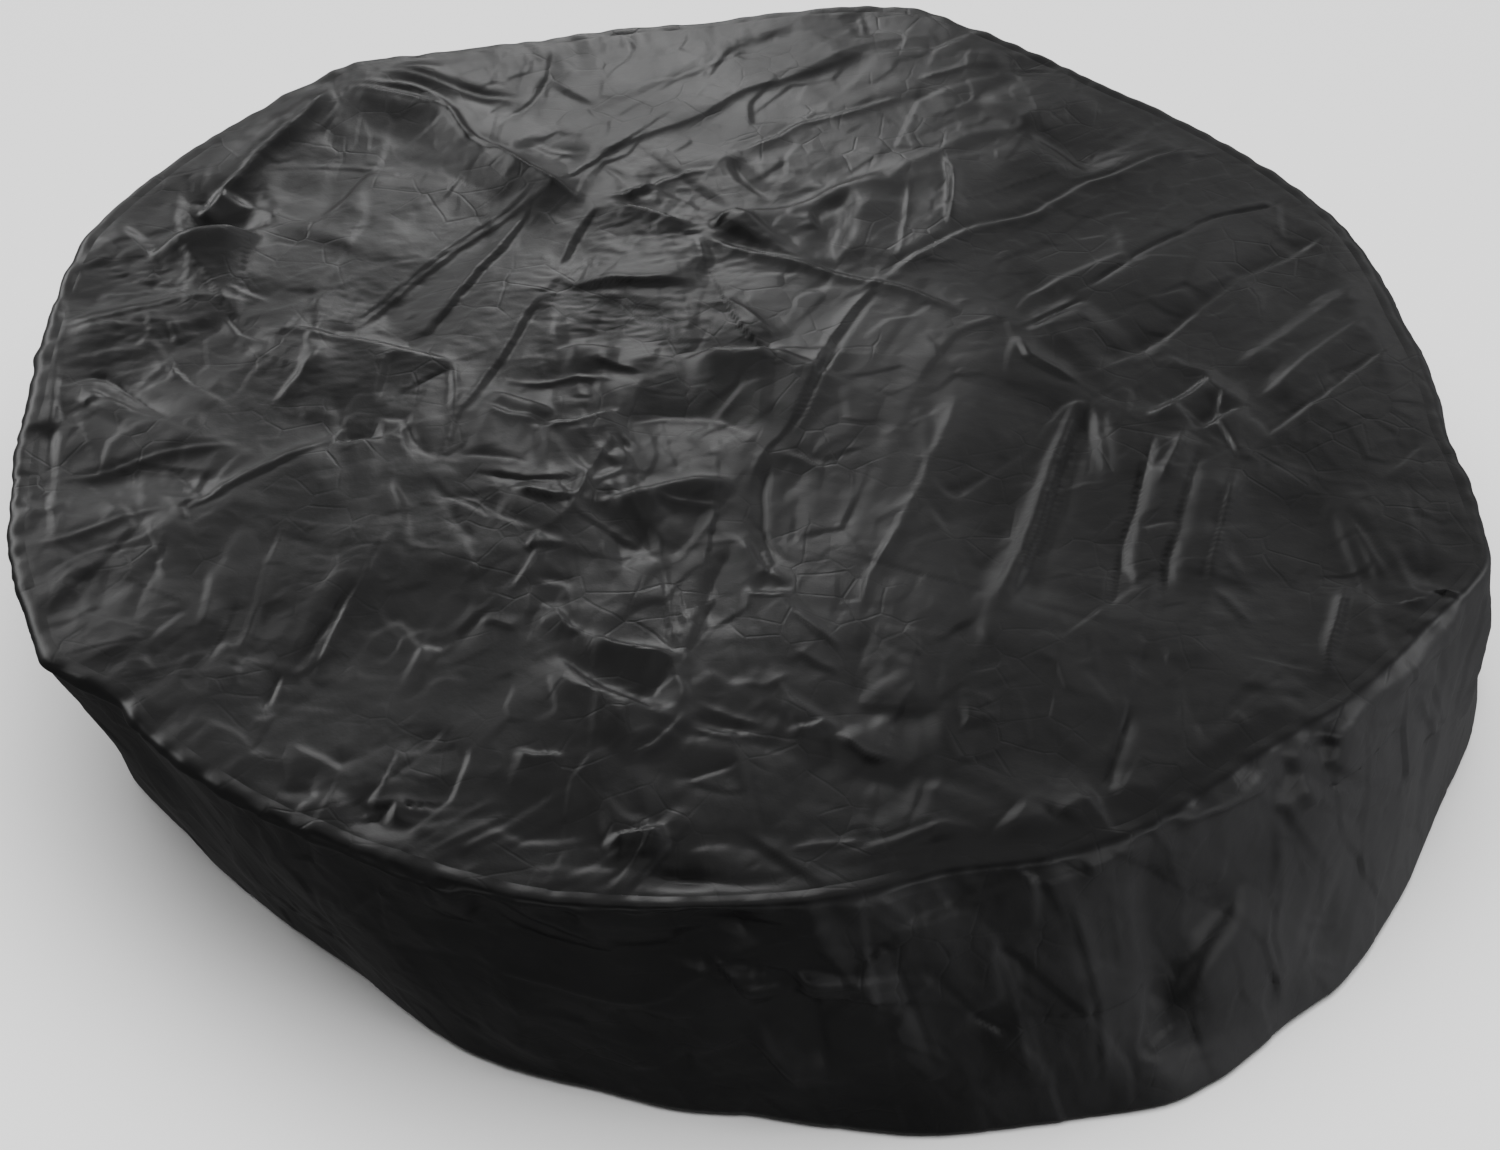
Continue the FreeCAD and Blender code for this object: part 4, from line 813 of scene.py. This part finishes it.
def disc_grid(n):
    """An n x n grid of quads mapped evenly over the unit disc: radius and angle of every vertex."""
    t = np.linspace(-1, 1, n + 1)
    a, b = np.meshgrid(t, t)
    big = np.abs(a) >= np.abs(b)
    r = np.where(big, np.abs(a), np.abs(b))
    with np.errstate(divide="ignore", invalid="ignore"):
        phi_a = (math.pi / 4) * np.where(a != 0, b / a, 0) + np.where(a < 0, math.pi, 0)
        phi_b = math.pi / 2 - (math.pi / 4) * np.where(b != 0, a / b, 0) + np.where(b < 0, math.pi, 0)
    phi = np.where(big, phi_a, phi_b)
    return r.ravel(), np.mod(phi.ravel(), TAU)


N_FACE = 440
rho, theta = disc_grid(N_FACE)
seam_r = rim_r(theta) - SEAM_INSET
P = RIM_CENTRE + (rho * seam_r)[:, None] * np.stack([np.cos(theta), np.sin(theta)], 1)
inset = (1 - rho) * seam_r
h = face_height(P, theta, inset)
top = np.column_stack([P, RIM_Z + h])
face_cloth = make_mesh("face_cloth", top, grid_faces(N_FACE + 1, N_FACE + 1), COATED)


# ---------------------------------------------------------------- the band
def seam_height(t):
    """Height of the seam at the angle t, the same for the face and the band."""
    t = np.asarray(t, float)
    r = rim_r(t) - SEAM_INSET
    Q = RIM_CENTRE + r[:, None] * np.stack([np.cos(t), np.sin(t)], 1)
    return RIM_Z + face_height(Q, np.mod(t, TAU), np.zeros(len(t)))


def wall_point(t, z, out):
    f = np.clip(z / RIM_Z, 0, 1)
    r = rim_r(t) * f + foot_r(t) * (1 - f) + out
    cx = RIM_CENTRE[0] * f + FOOT_CENTRE[0] * (1 - f)
    cy = RIM_CENTRE[1] * f + FOOT_CENTRE[1] * (1 - f)
    return np.stack([cx + r * np.cos(t), cy + r * np.sin(t), z + 0 * r], -1)


def hidden_folds():
    """Folds for the side that faces away, of the same kinds and sizes as those in front."""
    rng = np.random.default_rng(88)
    rows = []
    at = -20.0
    while at < 182:
        lean = rng.normal(0, 3.0)
        top_, low = rng.uniform(96, 147), rng.uniform(4, 60)
        mid = (at + lean * 0.5 + rng.normal(0, 1.0), (top_ + low) / 2)
        kind = "V" if rng.random() < 0.6 else "R"
        rows.append((kind, round(rng.uniform(0.7, 1.4), 2), 2.6, round(rng.uniform(2.5, 8.5), 1), round(rng.uniform(8, 15), 1),
                     [(at, top_), mid, (at + lean, low)]))
        at += rng.uniform(3.2, 8.5)
    for a, b, z in ((24, 47, 96), (60, 84, 70), (103, 128, 104), (137, 160, 62), (158, 180, 112)):
        m = (a + b) / 2 + rng.normal(0, 2)
        rows.append(("R", 0.8, 2.8, 3.6, 12, [(a, z + 22), (a + 6, z + 4), (m, z - 6), (b - 5, z + 5), (b, z + 24)]))
        rows.append(("V", 0.5, 3.0, 2.8, 11, [(a + 4, z + 30), (m, z + 17), (b - 4, z + 30)]))
    return rows


def band_out(S, Z):
    """How far the band stands out from its mean surface at the unrolled place (S, Z), in mm."""
    Q = np.column_stack([S.ravel(), Z.ravel()])
    h = np.zeros(len(Q))
    turn = TAU * GIRTH
    for i, (fine, step, wide, tilt, pts) in enumerate(BAND_CREASES):
        face_crease(Q, h, fine, step, wide, tilt, [(math.radians(x) * GIRTH, y) for x, y in pts], 700 + i)
    for i, (kind, a, w, b, c, pts) in enumerate(hidden_folds()):
        p = [(math.radians(x) * GIRTH, y) for x, y in pts]
        for shift in (-turn, 0.0, turn):
            q = [(x + shift, y) for x, y in p]
            crease(Q, h, kind, a, 0.7 * w, 1.05 * b, c, q, 900 + i)
    body = smoothstep((RIM_Z - 0.5 - Q[:, 1]) / 5.5)
    cells20 = int(round(turn / 105.0))
    h += 2.0 * noise(Q[:, 0], Q[:, 1] + 500, turn / cells20, 61, wrap=cells20)
    cells9 = int(round(turn / 46.0))
    h += 0.8 * noise(Q[:, 0], Q[:, 1] + 500, turn / cells9, 62, wrap=cells9)

    def ring(step_x, step_y, seed):
        base = scatter(0, turn, -20, 190, step_x, step_y, seed)
        ids = np.concatenate([np.arange(len(base))] * 3)
        return np.concatenate([base - [turn, 0], base, base + [turn, 0]]), ids

    for (sx, sy, seed, ln, wd, sl, lean) in ((34, 40, 81, 46, 20, 0.024, 0.22), (17, 20, 82, 24, 11, 0.020, 0.5), (8, 9, 83, 11, 5.5, 0.014, 0.9)):
        cells, ids = ring(sx, sy, seed)
        ang = math.pi / 2 + np.random.default_rng(seed + 5).normal(0, lean, ids.max() + 1)
        # the same random panel must repeat at the wrap, so its numbers are drawn once per cell
        h += ring_facets(Q, cells, ids, ang[ids], ln, wd, sl, seed + 9)
    h *= body * (0.45 + 0.55 * smoothstep(Q[:, 1] / 26.0))
    ruck = seam_ruck(Q[:, 0])
    h += ruck * 1.3 * pucker(Q[:, 0], 54, 12.0) * np.exp(-np.maximum(RIM_Z - Q[:, 1], 0) / 13.0) * smoothstep((RIM_Z + 5.5 - Q[:, 1]) / 6.0)
    return h.reshape(S.shape)


def ring_facets(P, cells, ids, angle, length, width, slope, seed, sharp=24.0, tile=60.0):
    rng = np.random.default_rng(seed)
    n = ids.max() + 1
    across, down = rng.normal(0, slope, n)[ids], rng.normal(0, slope * 0.35, n)[ids]
    base = rng.normal(0, slope * width * 0.35, n)[ids]
    out = np.zeros(len(P))
    ca, sa = np.cos(angle), np.sin(angle)
    key = np.floor(P[:, 0] / tile).astype(int) * 100000 + np.floor(P[:, 1] / tile).astype(int)
    order = np.argsort(key, kind="stable")
    for group in np.split(order, np.nonzero(np.diff(key[order]))[0] + 1):
        lo, hi = P[group].min(0) - 2.2 * length, P[group].max(0) + 2.2 * length
        near = np.nonzero((cells[:, 0] > lo[0]) & (cells[:, 0] < hi[0]) & (cells[:, 1] > lo[1]) & (cells[:, 1] < hi[1]))[0]
        if not len(near):
            continue
        dx = P[group, 0][:, None] - cells[near, 0]
        dy = P[group, 1][:, None] - cells[near, 1]
        u = dx * ca[near] + dy * sa[near]
        v = -dx * sa[near] + dy * ca[near]
        d2 = (u / length) ** 2 + (v / width) ** 2
        wgt = np.exp(-sharp * (d2 - d2.min(1, keepdims=True)))
        plane = np.clip(base[near] + across[near] * v + down[near] * u, -slope * width * 2.5, slope * width * 2.5)
        out[group] = (wgt * plane).sum(1) / wgt.sum(1)
    return out


def hem_gather(t, seed=91):
    """Height in mm of the gathers that the elastic pulls into the hem: 0 at the bottom of each, never below."""
    s = t * LIP_R
    turn = TAU * LIP_R
    c1, c2 = int(round(turn / 15.0)), int(round(turn / 38.0))
    g = 0.75 * noise(s, 0 * s + 1.7, turn / c1, seed, wrap=c1) + 0.5 * noise(s, 0 * s + 5.1, turn / c2, seed + 1, wrap=c2)
    return 1.6 * np.clip(0.5 + g, 0, 1.4)


N_ROUND = 1300
t = np.arange(N_ROUND) / N_ROUND * TAU
seam_z = seam_height(t)
rows = []
roll_x = [9.0, 7.6, 6.2, 4.9, 3.6, 2.5, 1.5, 0.8, 0.35, 0.08]
ruck = seam_ruck(t * GIRTH)
wave = pucker(t * GIRTH, 54, 12.0) * ruck
for k, x in enumerate(roll_x):
    share = k / (len(roll_x) - 1)
    if k == 0:
        zz, out = seam_z, np.zeros(N_ROUND)
    else:
        zz = RIM_Z - rim_drop(x) + (seam_z - (RIM_Z - rim_drop(SEAM_INSET))) * (1 - share) ** 1.5 + 0.9 * wave * math.sin(math.pi * min(1, share * 1.3))
        out = 0.6 * wave * share + band_out(t * GIRTH, zz) * smoothstep(share * 2.5)
    r = rim_r(t) - x + out
    rows.append(np.stack([RIM_CENTRE[0] + r * np.cos(t), RIM_CENTRE[1] + r * np.sin(t), zz], -1))
wall_z = np.linspace(RIM_Z - ROLL_R - 1.2, 5.0, 84)
T, Z = np.meshgrid(t, wall_z)
OUT = band_out(T * GIRTH, Z)
OUT += 0.6 * wave[None, :] * np.exp(-(wall_z[0] - wall_z) / 10.0)[:, None]
wall = wall_point(T, Z, OUT)
for k in range(len(wall_z)):
    rows.append(wall[k])
gather = hem_gather(t)
low_out = OUT[-1]
for z, dr, hold in ((3.0, -1.0, 0.9), (1.6, -3.0, 0.75), (0.8, -6.5, 0.6)):
    rows.append(wall_point(t, np.full(N_ROUND, z), dr + low_out * hold))
edge = rows[-1]
lip = np.stack([FOOT_CENTRE[0] + LIP_R * np.cos(t), FOOT_CENTRE[1] + LIP_R * np.sin(t), 0 * t + 1.2], -1)
for k in range(1, 15):
    u = k / 14
    p = edge * (1 - u) + lip * u
    p[:, 2] = 0.8 + 0.3 * u + gather * smoothstep(u) * 1.0 + 0.9 * hem_gather(t, 95) * math.sin(math.pi * u)
    rows.append(p)
band_verts = np.concatenate(rows)
band_cloth = make_mesh("band_cloth", band_verts, grid_faces(len(rows), N_ROUND, close_cols=True, flip=True), COATED)


# ---------------------------------------------------------------- hem binding, elastic and stitches
def tube_ring(section, centre, radius_of, z_of, n, closed=True):
    """A closed ring: section is a list of (dr, dz) round one cross-section."""
    tt = np.arange(n) / n * TAU
    cols = []
    for dr, dz in section:
        r = radius_of(tt) + dr
        cols.append(np.stack([centre[0] + r * np.cos(tt), centre[1] + r * np.sin(tt), z_of(tt) + dz], -1))
    v = np.concatenate(cols)
    return v, grid_faces(len(section), n, close_cols=True, close_rows=closed)


def folded_tape(r_in, r_out, h, n_side=8, n_end=6):
    """Cross-section of a tape folded round an edge: closed towards the mouth, open towards the band."""
    pts = [(r_out - (r_out - r_in) * k / n_side, h - 0.3 * (2 * k / n_side - 1) ** 2) for k in range(n_side + 1)]
    for k in range(1, n_end):
        a = math.pi * k / n_end
        pts.append((r_in - h / 2 * math.sin(a), h / 2 + (h / 2 - 0.3) * math.cos(a)))
    pts += [(r_in + (r_out - r_in) * k / n_side, 0.25 * (2 * k / n_side - 1) ** 2) for k in range(n_side + 1)]
    return pts


def hem_edge(tt):
    s = tt * LIP_R
    turn = TAU * LIP_R
    c = int(round(turn / 17.0))
    return 1.1 * noise(s, 0 * s + 8.8, turn / c, 97, wrap=c)


n_hem = 1100
v, f = tube_ring(folded_tape(-9.0, 9.5, 3.0), FOOT_CENTRE, lambda a: 286.0 + hem_edge(a), lambda a: 0.35 + hem_gather(a), n_hem, closed=False)
hem_binding = make_mesh("hem_binding_cloth", v, f, BINDING)
v, f = tube_ring([(-5.2, 0.0), (5.2, 0.0), (5.2, 0.7), (-5.2, 0.7)], FOOT_CENTRE, lambda a: 285.0 + hem_edge(a), lambda a: 1.45 + hem_gather(a), 720)
hem_elastic = make_mesh("hem_elastic_tape", v, f, ELASTIC)


def stitches(points, normals, name, thick=0.32, gap=0.28, side=None, material=None):
    """Short threads laid end to end along points, each sinking into the cloth at both ends."""
    n = len(points) - 1
    verts, faces = [], []
    sect = 6
    ts = np.array([0.0, 0.12, 0.35, 0.65, 0.88, 1.0])
    rs = np.array([0.35, 0.85, 1.0, 1.0, 0.85, 0.35])
    lifts = np.array([-0.25, 0.35, 0.65, 0.65, 0.35, -0.25]) * thick
    for k in range(n):
        a, b = points[k], points[k + 1]
        d = b - a
        a, b = a + d * gap / 2, b - d * gap / 2
        d = b - a
        L = np.linalg.norm(d)
        if L < 1e-6:
            continue
        d = d / L
        nn = normals[k] - d * np.dot(normals[k], d)
        nn = nn / (np.linalg.norm(nn) + 1e-9)
        bb = np.cross(d, nn)
        base = len(verts)
        for tt, rr, ll in zip(ts, rs, lifts):
            c = a + d * L * tt + nn * ll
            for j in range(sect):
                ang = TAU * j / sect
                verts.append(c + (nn * math.cos(ang) + bb * math.sin(ang)) * thick / 2 * rr)
        for i in range(len(ts) - 1):
            for j in range(sect):
                j2 = (j + 1) % sect
                faces.append((base + i * sect + j, base + i * sect + j2, base + (i + 1) * sect + j2, base + (i + 1) * sect + j))
    return make_mesh(name, np.array(verts), np.array(faces), material or THREAD)


# lockstitches in the face seam: a groove, so they lie just above the seam line
n_st = 640
ts_ = np.arange(n_st + 1) / n_st * TAU
zs = seam_height(ts_)
r_ = rim_r(ts_) - SEAM_INSET
pts = np.stack([RIM_CENTRE[0] + r_ * np.cos(ts_), RIM_CENTRE[1] + r_ * np.sin(ts_), zs - 1.0], -1)
up = np.tile(np.array([0.0, 0.0, 1.0]), (n_st + 1, 1))
seam_threads = stitches(pts, up, "face_seam_threads", thick=0.42)

# the seam allowance inside, with its overlocked edge
n_al = 900
ta = np.arange(n_al) / n_al * TAU
za = seam_height(ta)
ra = rim_r(ta) - SEAM_INSET
cols = []
for dr, dz in ((-0.5, -0.5), (-1.2, -3.5), (-2.0, -7.2), (-1.4, -7.5), (-0.6, -3.5), (0.1, -0.5)):
    wob = 0.8 * pucker(ta * GIRTH, 58, 14.0) * min(1.0, -dz / 5)
    cols.append(np.stack([RIM_CENTRE[0] + (ra + dr + wob) * np.cos(ta), RIM_CENTRE[1] + (ra + dr + wob) * np.sin(ta), za + dz], -1))
allowance_v = np.concatenate(cols)
allowance_f = grid_faces(6, n_al, close_cols=True, close_rows=True)
# overlock thread: a zigzag that wraps the allowance's raw edge
zig = []
n_z = 1120
for k in range(n_z + 1):
    a = k / n_z * TAU
    rr = float(rim_r(np.array([a]))[0]) - SEAM_INSET
    z0 = float(np.interp(a, np.append(ta, TAU), np.append(za, za[0])))
    w0 = float(0.8 * pucker(np.array([a * GIRTH]), 58, 14.0)[0])
    deep = -7.5 if k % 2 else -3.6
    dr = -2.3 if k % 2 else -1.9
    rr = rr + dr + w0
    zig.append((RIM_CENTRE[0] + rr * math.cos(a), RIM_CENTRE[1] + rr * math.sin(a), z0 + deep))
zig = np.array(zig)
inward = -np.stack([np.cos(np.arange(n_z + 1) / n_z * TAU), np.sin(np.arange(n_z + 1) / n_z * TAU), 0 * np.arange(n_z + 1)], -1)
overlock_threads = stitches(zig, inward, "face_seam_overlock_threads", thick=0.4, gap=0.05)
allowance = make_mesh("face_seam_allowance", allowance_v, allowance_f, COATED)

# the band's join: a plain seam with two rows of stitches, straight down the back
zj = np.linspace(138.0, 12.0, 43)
for_rows = []
normal_rows = []
for off in (-2.6, 2.6):
    tj = np.full(len(zj), JOIN) + off / GIRTH
    col_t = np.mod(tj, TAU)
    o = np.empty(len(zj))
    for k, (a, z) in enumerate(zip(col_t, zj)):
        i = int(np.clip(np.searchsorted(-wall_z, -z), 1, len(wall_z) - 1))
        w = (wall_z[i - 1] - z) / (wall_z[i - 1] - wall_z[i])
        c = a / TAU * N_ROUND
        c0 = int(c) % N_ROUND
        fr = c - int(c)
        g = lambda r: OUT[r, c0] * (1 - fr) + OUT[r, (c0 + 1) % N_ROUND] * fr
        o[k] = g(i - 1) * (1 - w) + g(i) * w
    pj = wall_point(col_t, zj, o + 0.15)
    for_rows.append(pj)
    normal_rows.append(np.stack([np.cos(col_t), np.sin(col_t), 0 * col_t], -1))
pj = np.concatenate(for_rows)
join_threads = None
va, vb = for_rows
verts_j = []
a_ob = stitches(va, normal_rows[0], "band_join_threads", thick=0.5)
b_ob = stitches(vb, normal_rows[1], "band_join_threads_2", thick=0.5)
va_v = np.array([q.co[:] for q in a_ob.data.vertices]) * 1000
vb_v = np.array([q.co[:] for q in b_ob.data.vertices]) * 1000
fa = np.array([tuple(p.vertices) for p in a_ob.data.polygons])
fb = np.array([tuple(p.vertices) for p in b_ob.data.polygons]) + len(va_v)
bpy.data.objects.remove(a_ob)
bpy.data.objects.remove(b_ob)
join_threads = make_mesh("band_join_thread_rows", np.concatenate([va_v, vb_v]), np.concatenate([fa, fb]), THREAD)

# stitches that hold the binding, outer row, seen from inside and below
n_h = 560
th_ = np.arange(n_h + 1) / n_h * TAU
rh = 293.3 + hem_edge(th_)
below = np.tile(np.array([0.0, 0.0, -1.0]), (n_h + 1, 1))
above = -below
hp = np.stack([FOOT_CENTRE[0] + rh * np.cos(th_), FOOT_CENTRE[1] + rh * np.sin(th_), 0.35 + hem_gather(th_) + 2.95], -1)
hem_threads = stitches(hp, above, "hem_threads", thick=0.45)
# a short zigzag where the elastic's two ends overlap
tk = []
a0 = JOIN + math.radians(3.0)
for k in range(15):
    a = a0 + math.radians(0.22) * k
    rr = 285.0 + (3.4 if k % 2 else -3.4)
    tk.append((FOOT_CENTRE[0] + rr * math.cos(a), FOOT_CENTRE[1] + rr * math.sin(a), 1.45 + 0.75 + float(hem_gather(np.array([a]))[0])))
tack_threads = stitches(np.array(tk), np.tile(np.array([0.0, 0.0, 1.0]), (15, 1)), "elastic_tack_threads", thick=0.4, gap=0.02)

# ---------------------------------------------------------------- what each piece stands for and how it moves
PIECES = [
    (face_cloth, "face_panel", "coated_cloth"),
    (seam_threads, "face_seam_stitching", "thread"),
    (overlock_threads, "face_seam_overlock", "thread"),
    (allowance, "face_seam_overlock", "coated_cloth"),
    (band_cloth, "side_band", "coated_cloth"),
    (join_threads, "band_join_stitching", "thread"),
    (hem_binding, "hem_binding", "binding"),
    (hem_threads, "hem_stitching", "thread"),
    (hem_elastic, "hem_elastic", "elastic"),
    (tack_threads, "elastic_tack_stitching", "thread"),
]
for ob, node, slot in PIECES:
    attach(ob, "cover_base")
    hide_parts(node)
    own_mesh(ob)

# ---------------------------------------------------------------- floor, light, camera
fm = bpy.data.materials.new("studio_floor")
fm.use_nodes = True
fb_ = fm.node_tree.nodes["Principled BSDF"]
fb_.inputs["Base Color"].default_value = (0.86, 0.86, 0.86, 1)
fb_.inputs["Roughness"].default_value = 0.9
floor = make_mesh("floor", np.array([(-9000, -9000, 0), (9000, -9000, 0), (9000, 9000, 0), (-9000, 9000, 0)], float), np.array([(0, 1, 2, 3)]), fm, smooth=False)

cover_only = bpy.data.collections.new("lit_cover")
for ob, _, _ in PIECES:
    cover_only.objects.link(ob)
floor_only = bpy.data.collections.new("lit_floor")
floor_only.objects.link(floor)


def aim(ob, target):
    d = np.array(target, float) - np.array(ob.location, float)
    ob.rotation_mode = "QUATERNION"
    from mathutils import Vector
    ob.rotation_quaternion = Vector(d).to_track_quat("-Z", "Y")


def area(name, loc, target, size, size_y, power, only=None):
    li = bpy.data.lights.new(name, "AREA")
    li.shape = "RECTANGLE"
    li.size, li.size_y, li.energy = size, size_y, power
    ob = bpy.data.objects.new(name, li)
    bpy.context.scene.collection.objects.link(ob)
    ob.location = loc
    aim(ob, target)
    if only is not None:
        ob.light_linking.receiver_collection = only
    return ob


def spot(name, loc, target, angle, power, blend=0.1, radius=0.02, only=None):
    li = bpy.data.lights.new(name, "SPOT")
    li.energy, li.spot_size, li.spot_blend, li.shadow_soft_size = power, math.radians(angle), blend, radius
    ob = bpy.data.objects.new(name, li)
    bpy.context.scene.collection.objects.link(ob)
    ob.location = loc
    aim(ob, target)
    if only is not None:
        ob.light_linking.receiver_collection = only
    return ob


world = bpy.data.worlds.new("studio")
bpy.context.scene.world = world
world.use_nodes = True
bg = world.node_tree.nodes["Background"]
bg.inputs["Color"].default_value = (1, 1, 1, 1)
bg.inputs["Strength"].default_value = 0.10

floor.visible_glossy = False          # the cloth mirrors the dim studio, not the lit floor
area("floor_wash", (0, 0, 3.2), (0, 0, 0), 4.0, 4.0, 300, floor_only)
area("back_strip", (-0.3, 2.8, 1.1), (0, 0.2, 0.15), 0.8, 0.4, 5.6, cover_only)
area("back_wide", (-0.2, 3.2, 1.2), (0, 0.1, 0.15), 3.0, 0.8, 5.4, cover_only)
area("back_right", (1.3, 2.2, 1.4), (0.1, 0.1, 0.15), 1.0, 0.8, 4.0, cover_only)
area("left_softbox", (-1.9, 0.9, 1.1), (-0.05, 0, 0.1), 1.2, 0.9, 23, cover_only)
area("right_softbox", (2.1, 0.3, 0.9), (0.1, 0, 0.12), 1.0, 0.8, 9, cover_only)
area("back_left", (-1.5, 2.0, 1.25), (-0.1, 0.0, 0.15), 0.8, 0.7, 14.5, cover_only)
area("right_low", (1.6, -1.6, 0.6), (0.1, -0.1, 0.1), 1.6, 1.2, 10, cover_only)
area("back_high", (0.55, 1.7, 2.0), (0.12, -0.15, 0.15), 0.6, 0.6, 1.2, cover_only)
rake = area("band_rake", (2.0, -0.2, 0.28), (0.1, -0.3, 0.08), 0.35, 0.35, 150, cover_only)
rake.visible_glossy = False
rear_fill = area("rear_fill", (-1.3, 2.2, 0.5), (0, 0.3, 0.08), 0.6, 0.5, 45, cover_only)
rear_fill.visible_glossy = False
spot("right_rake", (-0.9, 1.7, 2.0), (0.25, -0.03, 0.149), 12.5, 60, 0.7, 0.08, cover_only)
area("front_fill", (-0.9, -2.6, 1.2), (0, -0.3, 0.1), 2.0, 1.2, 10, cover_only)
area("top_softbox", (0, 0.3, 2.6), (0, 0, 0.15), 1.4, 1.4, 5, cover_only)
spot("key_spot", (-0.16, 2.03, 1.37), (-0.37, 0.35, 0.149), 27, 22, 0.07, 0.012, cover_only)

E, DIST, ROLL = math.radians(40.825), 1.6, math.radians(0.673)
AIM = np.array([-0.0073, -0.0615, 0.08])
back = np.array([0, -math.cos(E), math.sin(E)])
right0, up0 = np.array([1.0, 0, 0]), np.cross([1.0, 0, 0], -back)
right = math.cos(ROLL) * right0 + math.sin(ROLL) * up0
upv = -math.sin(ROLL) * right0 + math.cos(ROLL) * up0
pos = AIM + back * DIST
cam_data = bpy.data.cameras.new("camera")
cam_data.sensor_width = 36.0
cam_data.lens = 77.49
cam_data.clip_start, cam_data.clip_end = 0.05, 60
cam = bpy.data.objects.new("camera", cam_data)
bpy.context.scene.collection.objects.link(cam)
M = Matrix.Identity(4)
for i in range(3):
    M[i][0], M[i][1], M[i][2], M[i][3] = right[i], upv[i], back[i], pos[i]
cam.matrix_world = M
bpy.context.scene.camera = cam
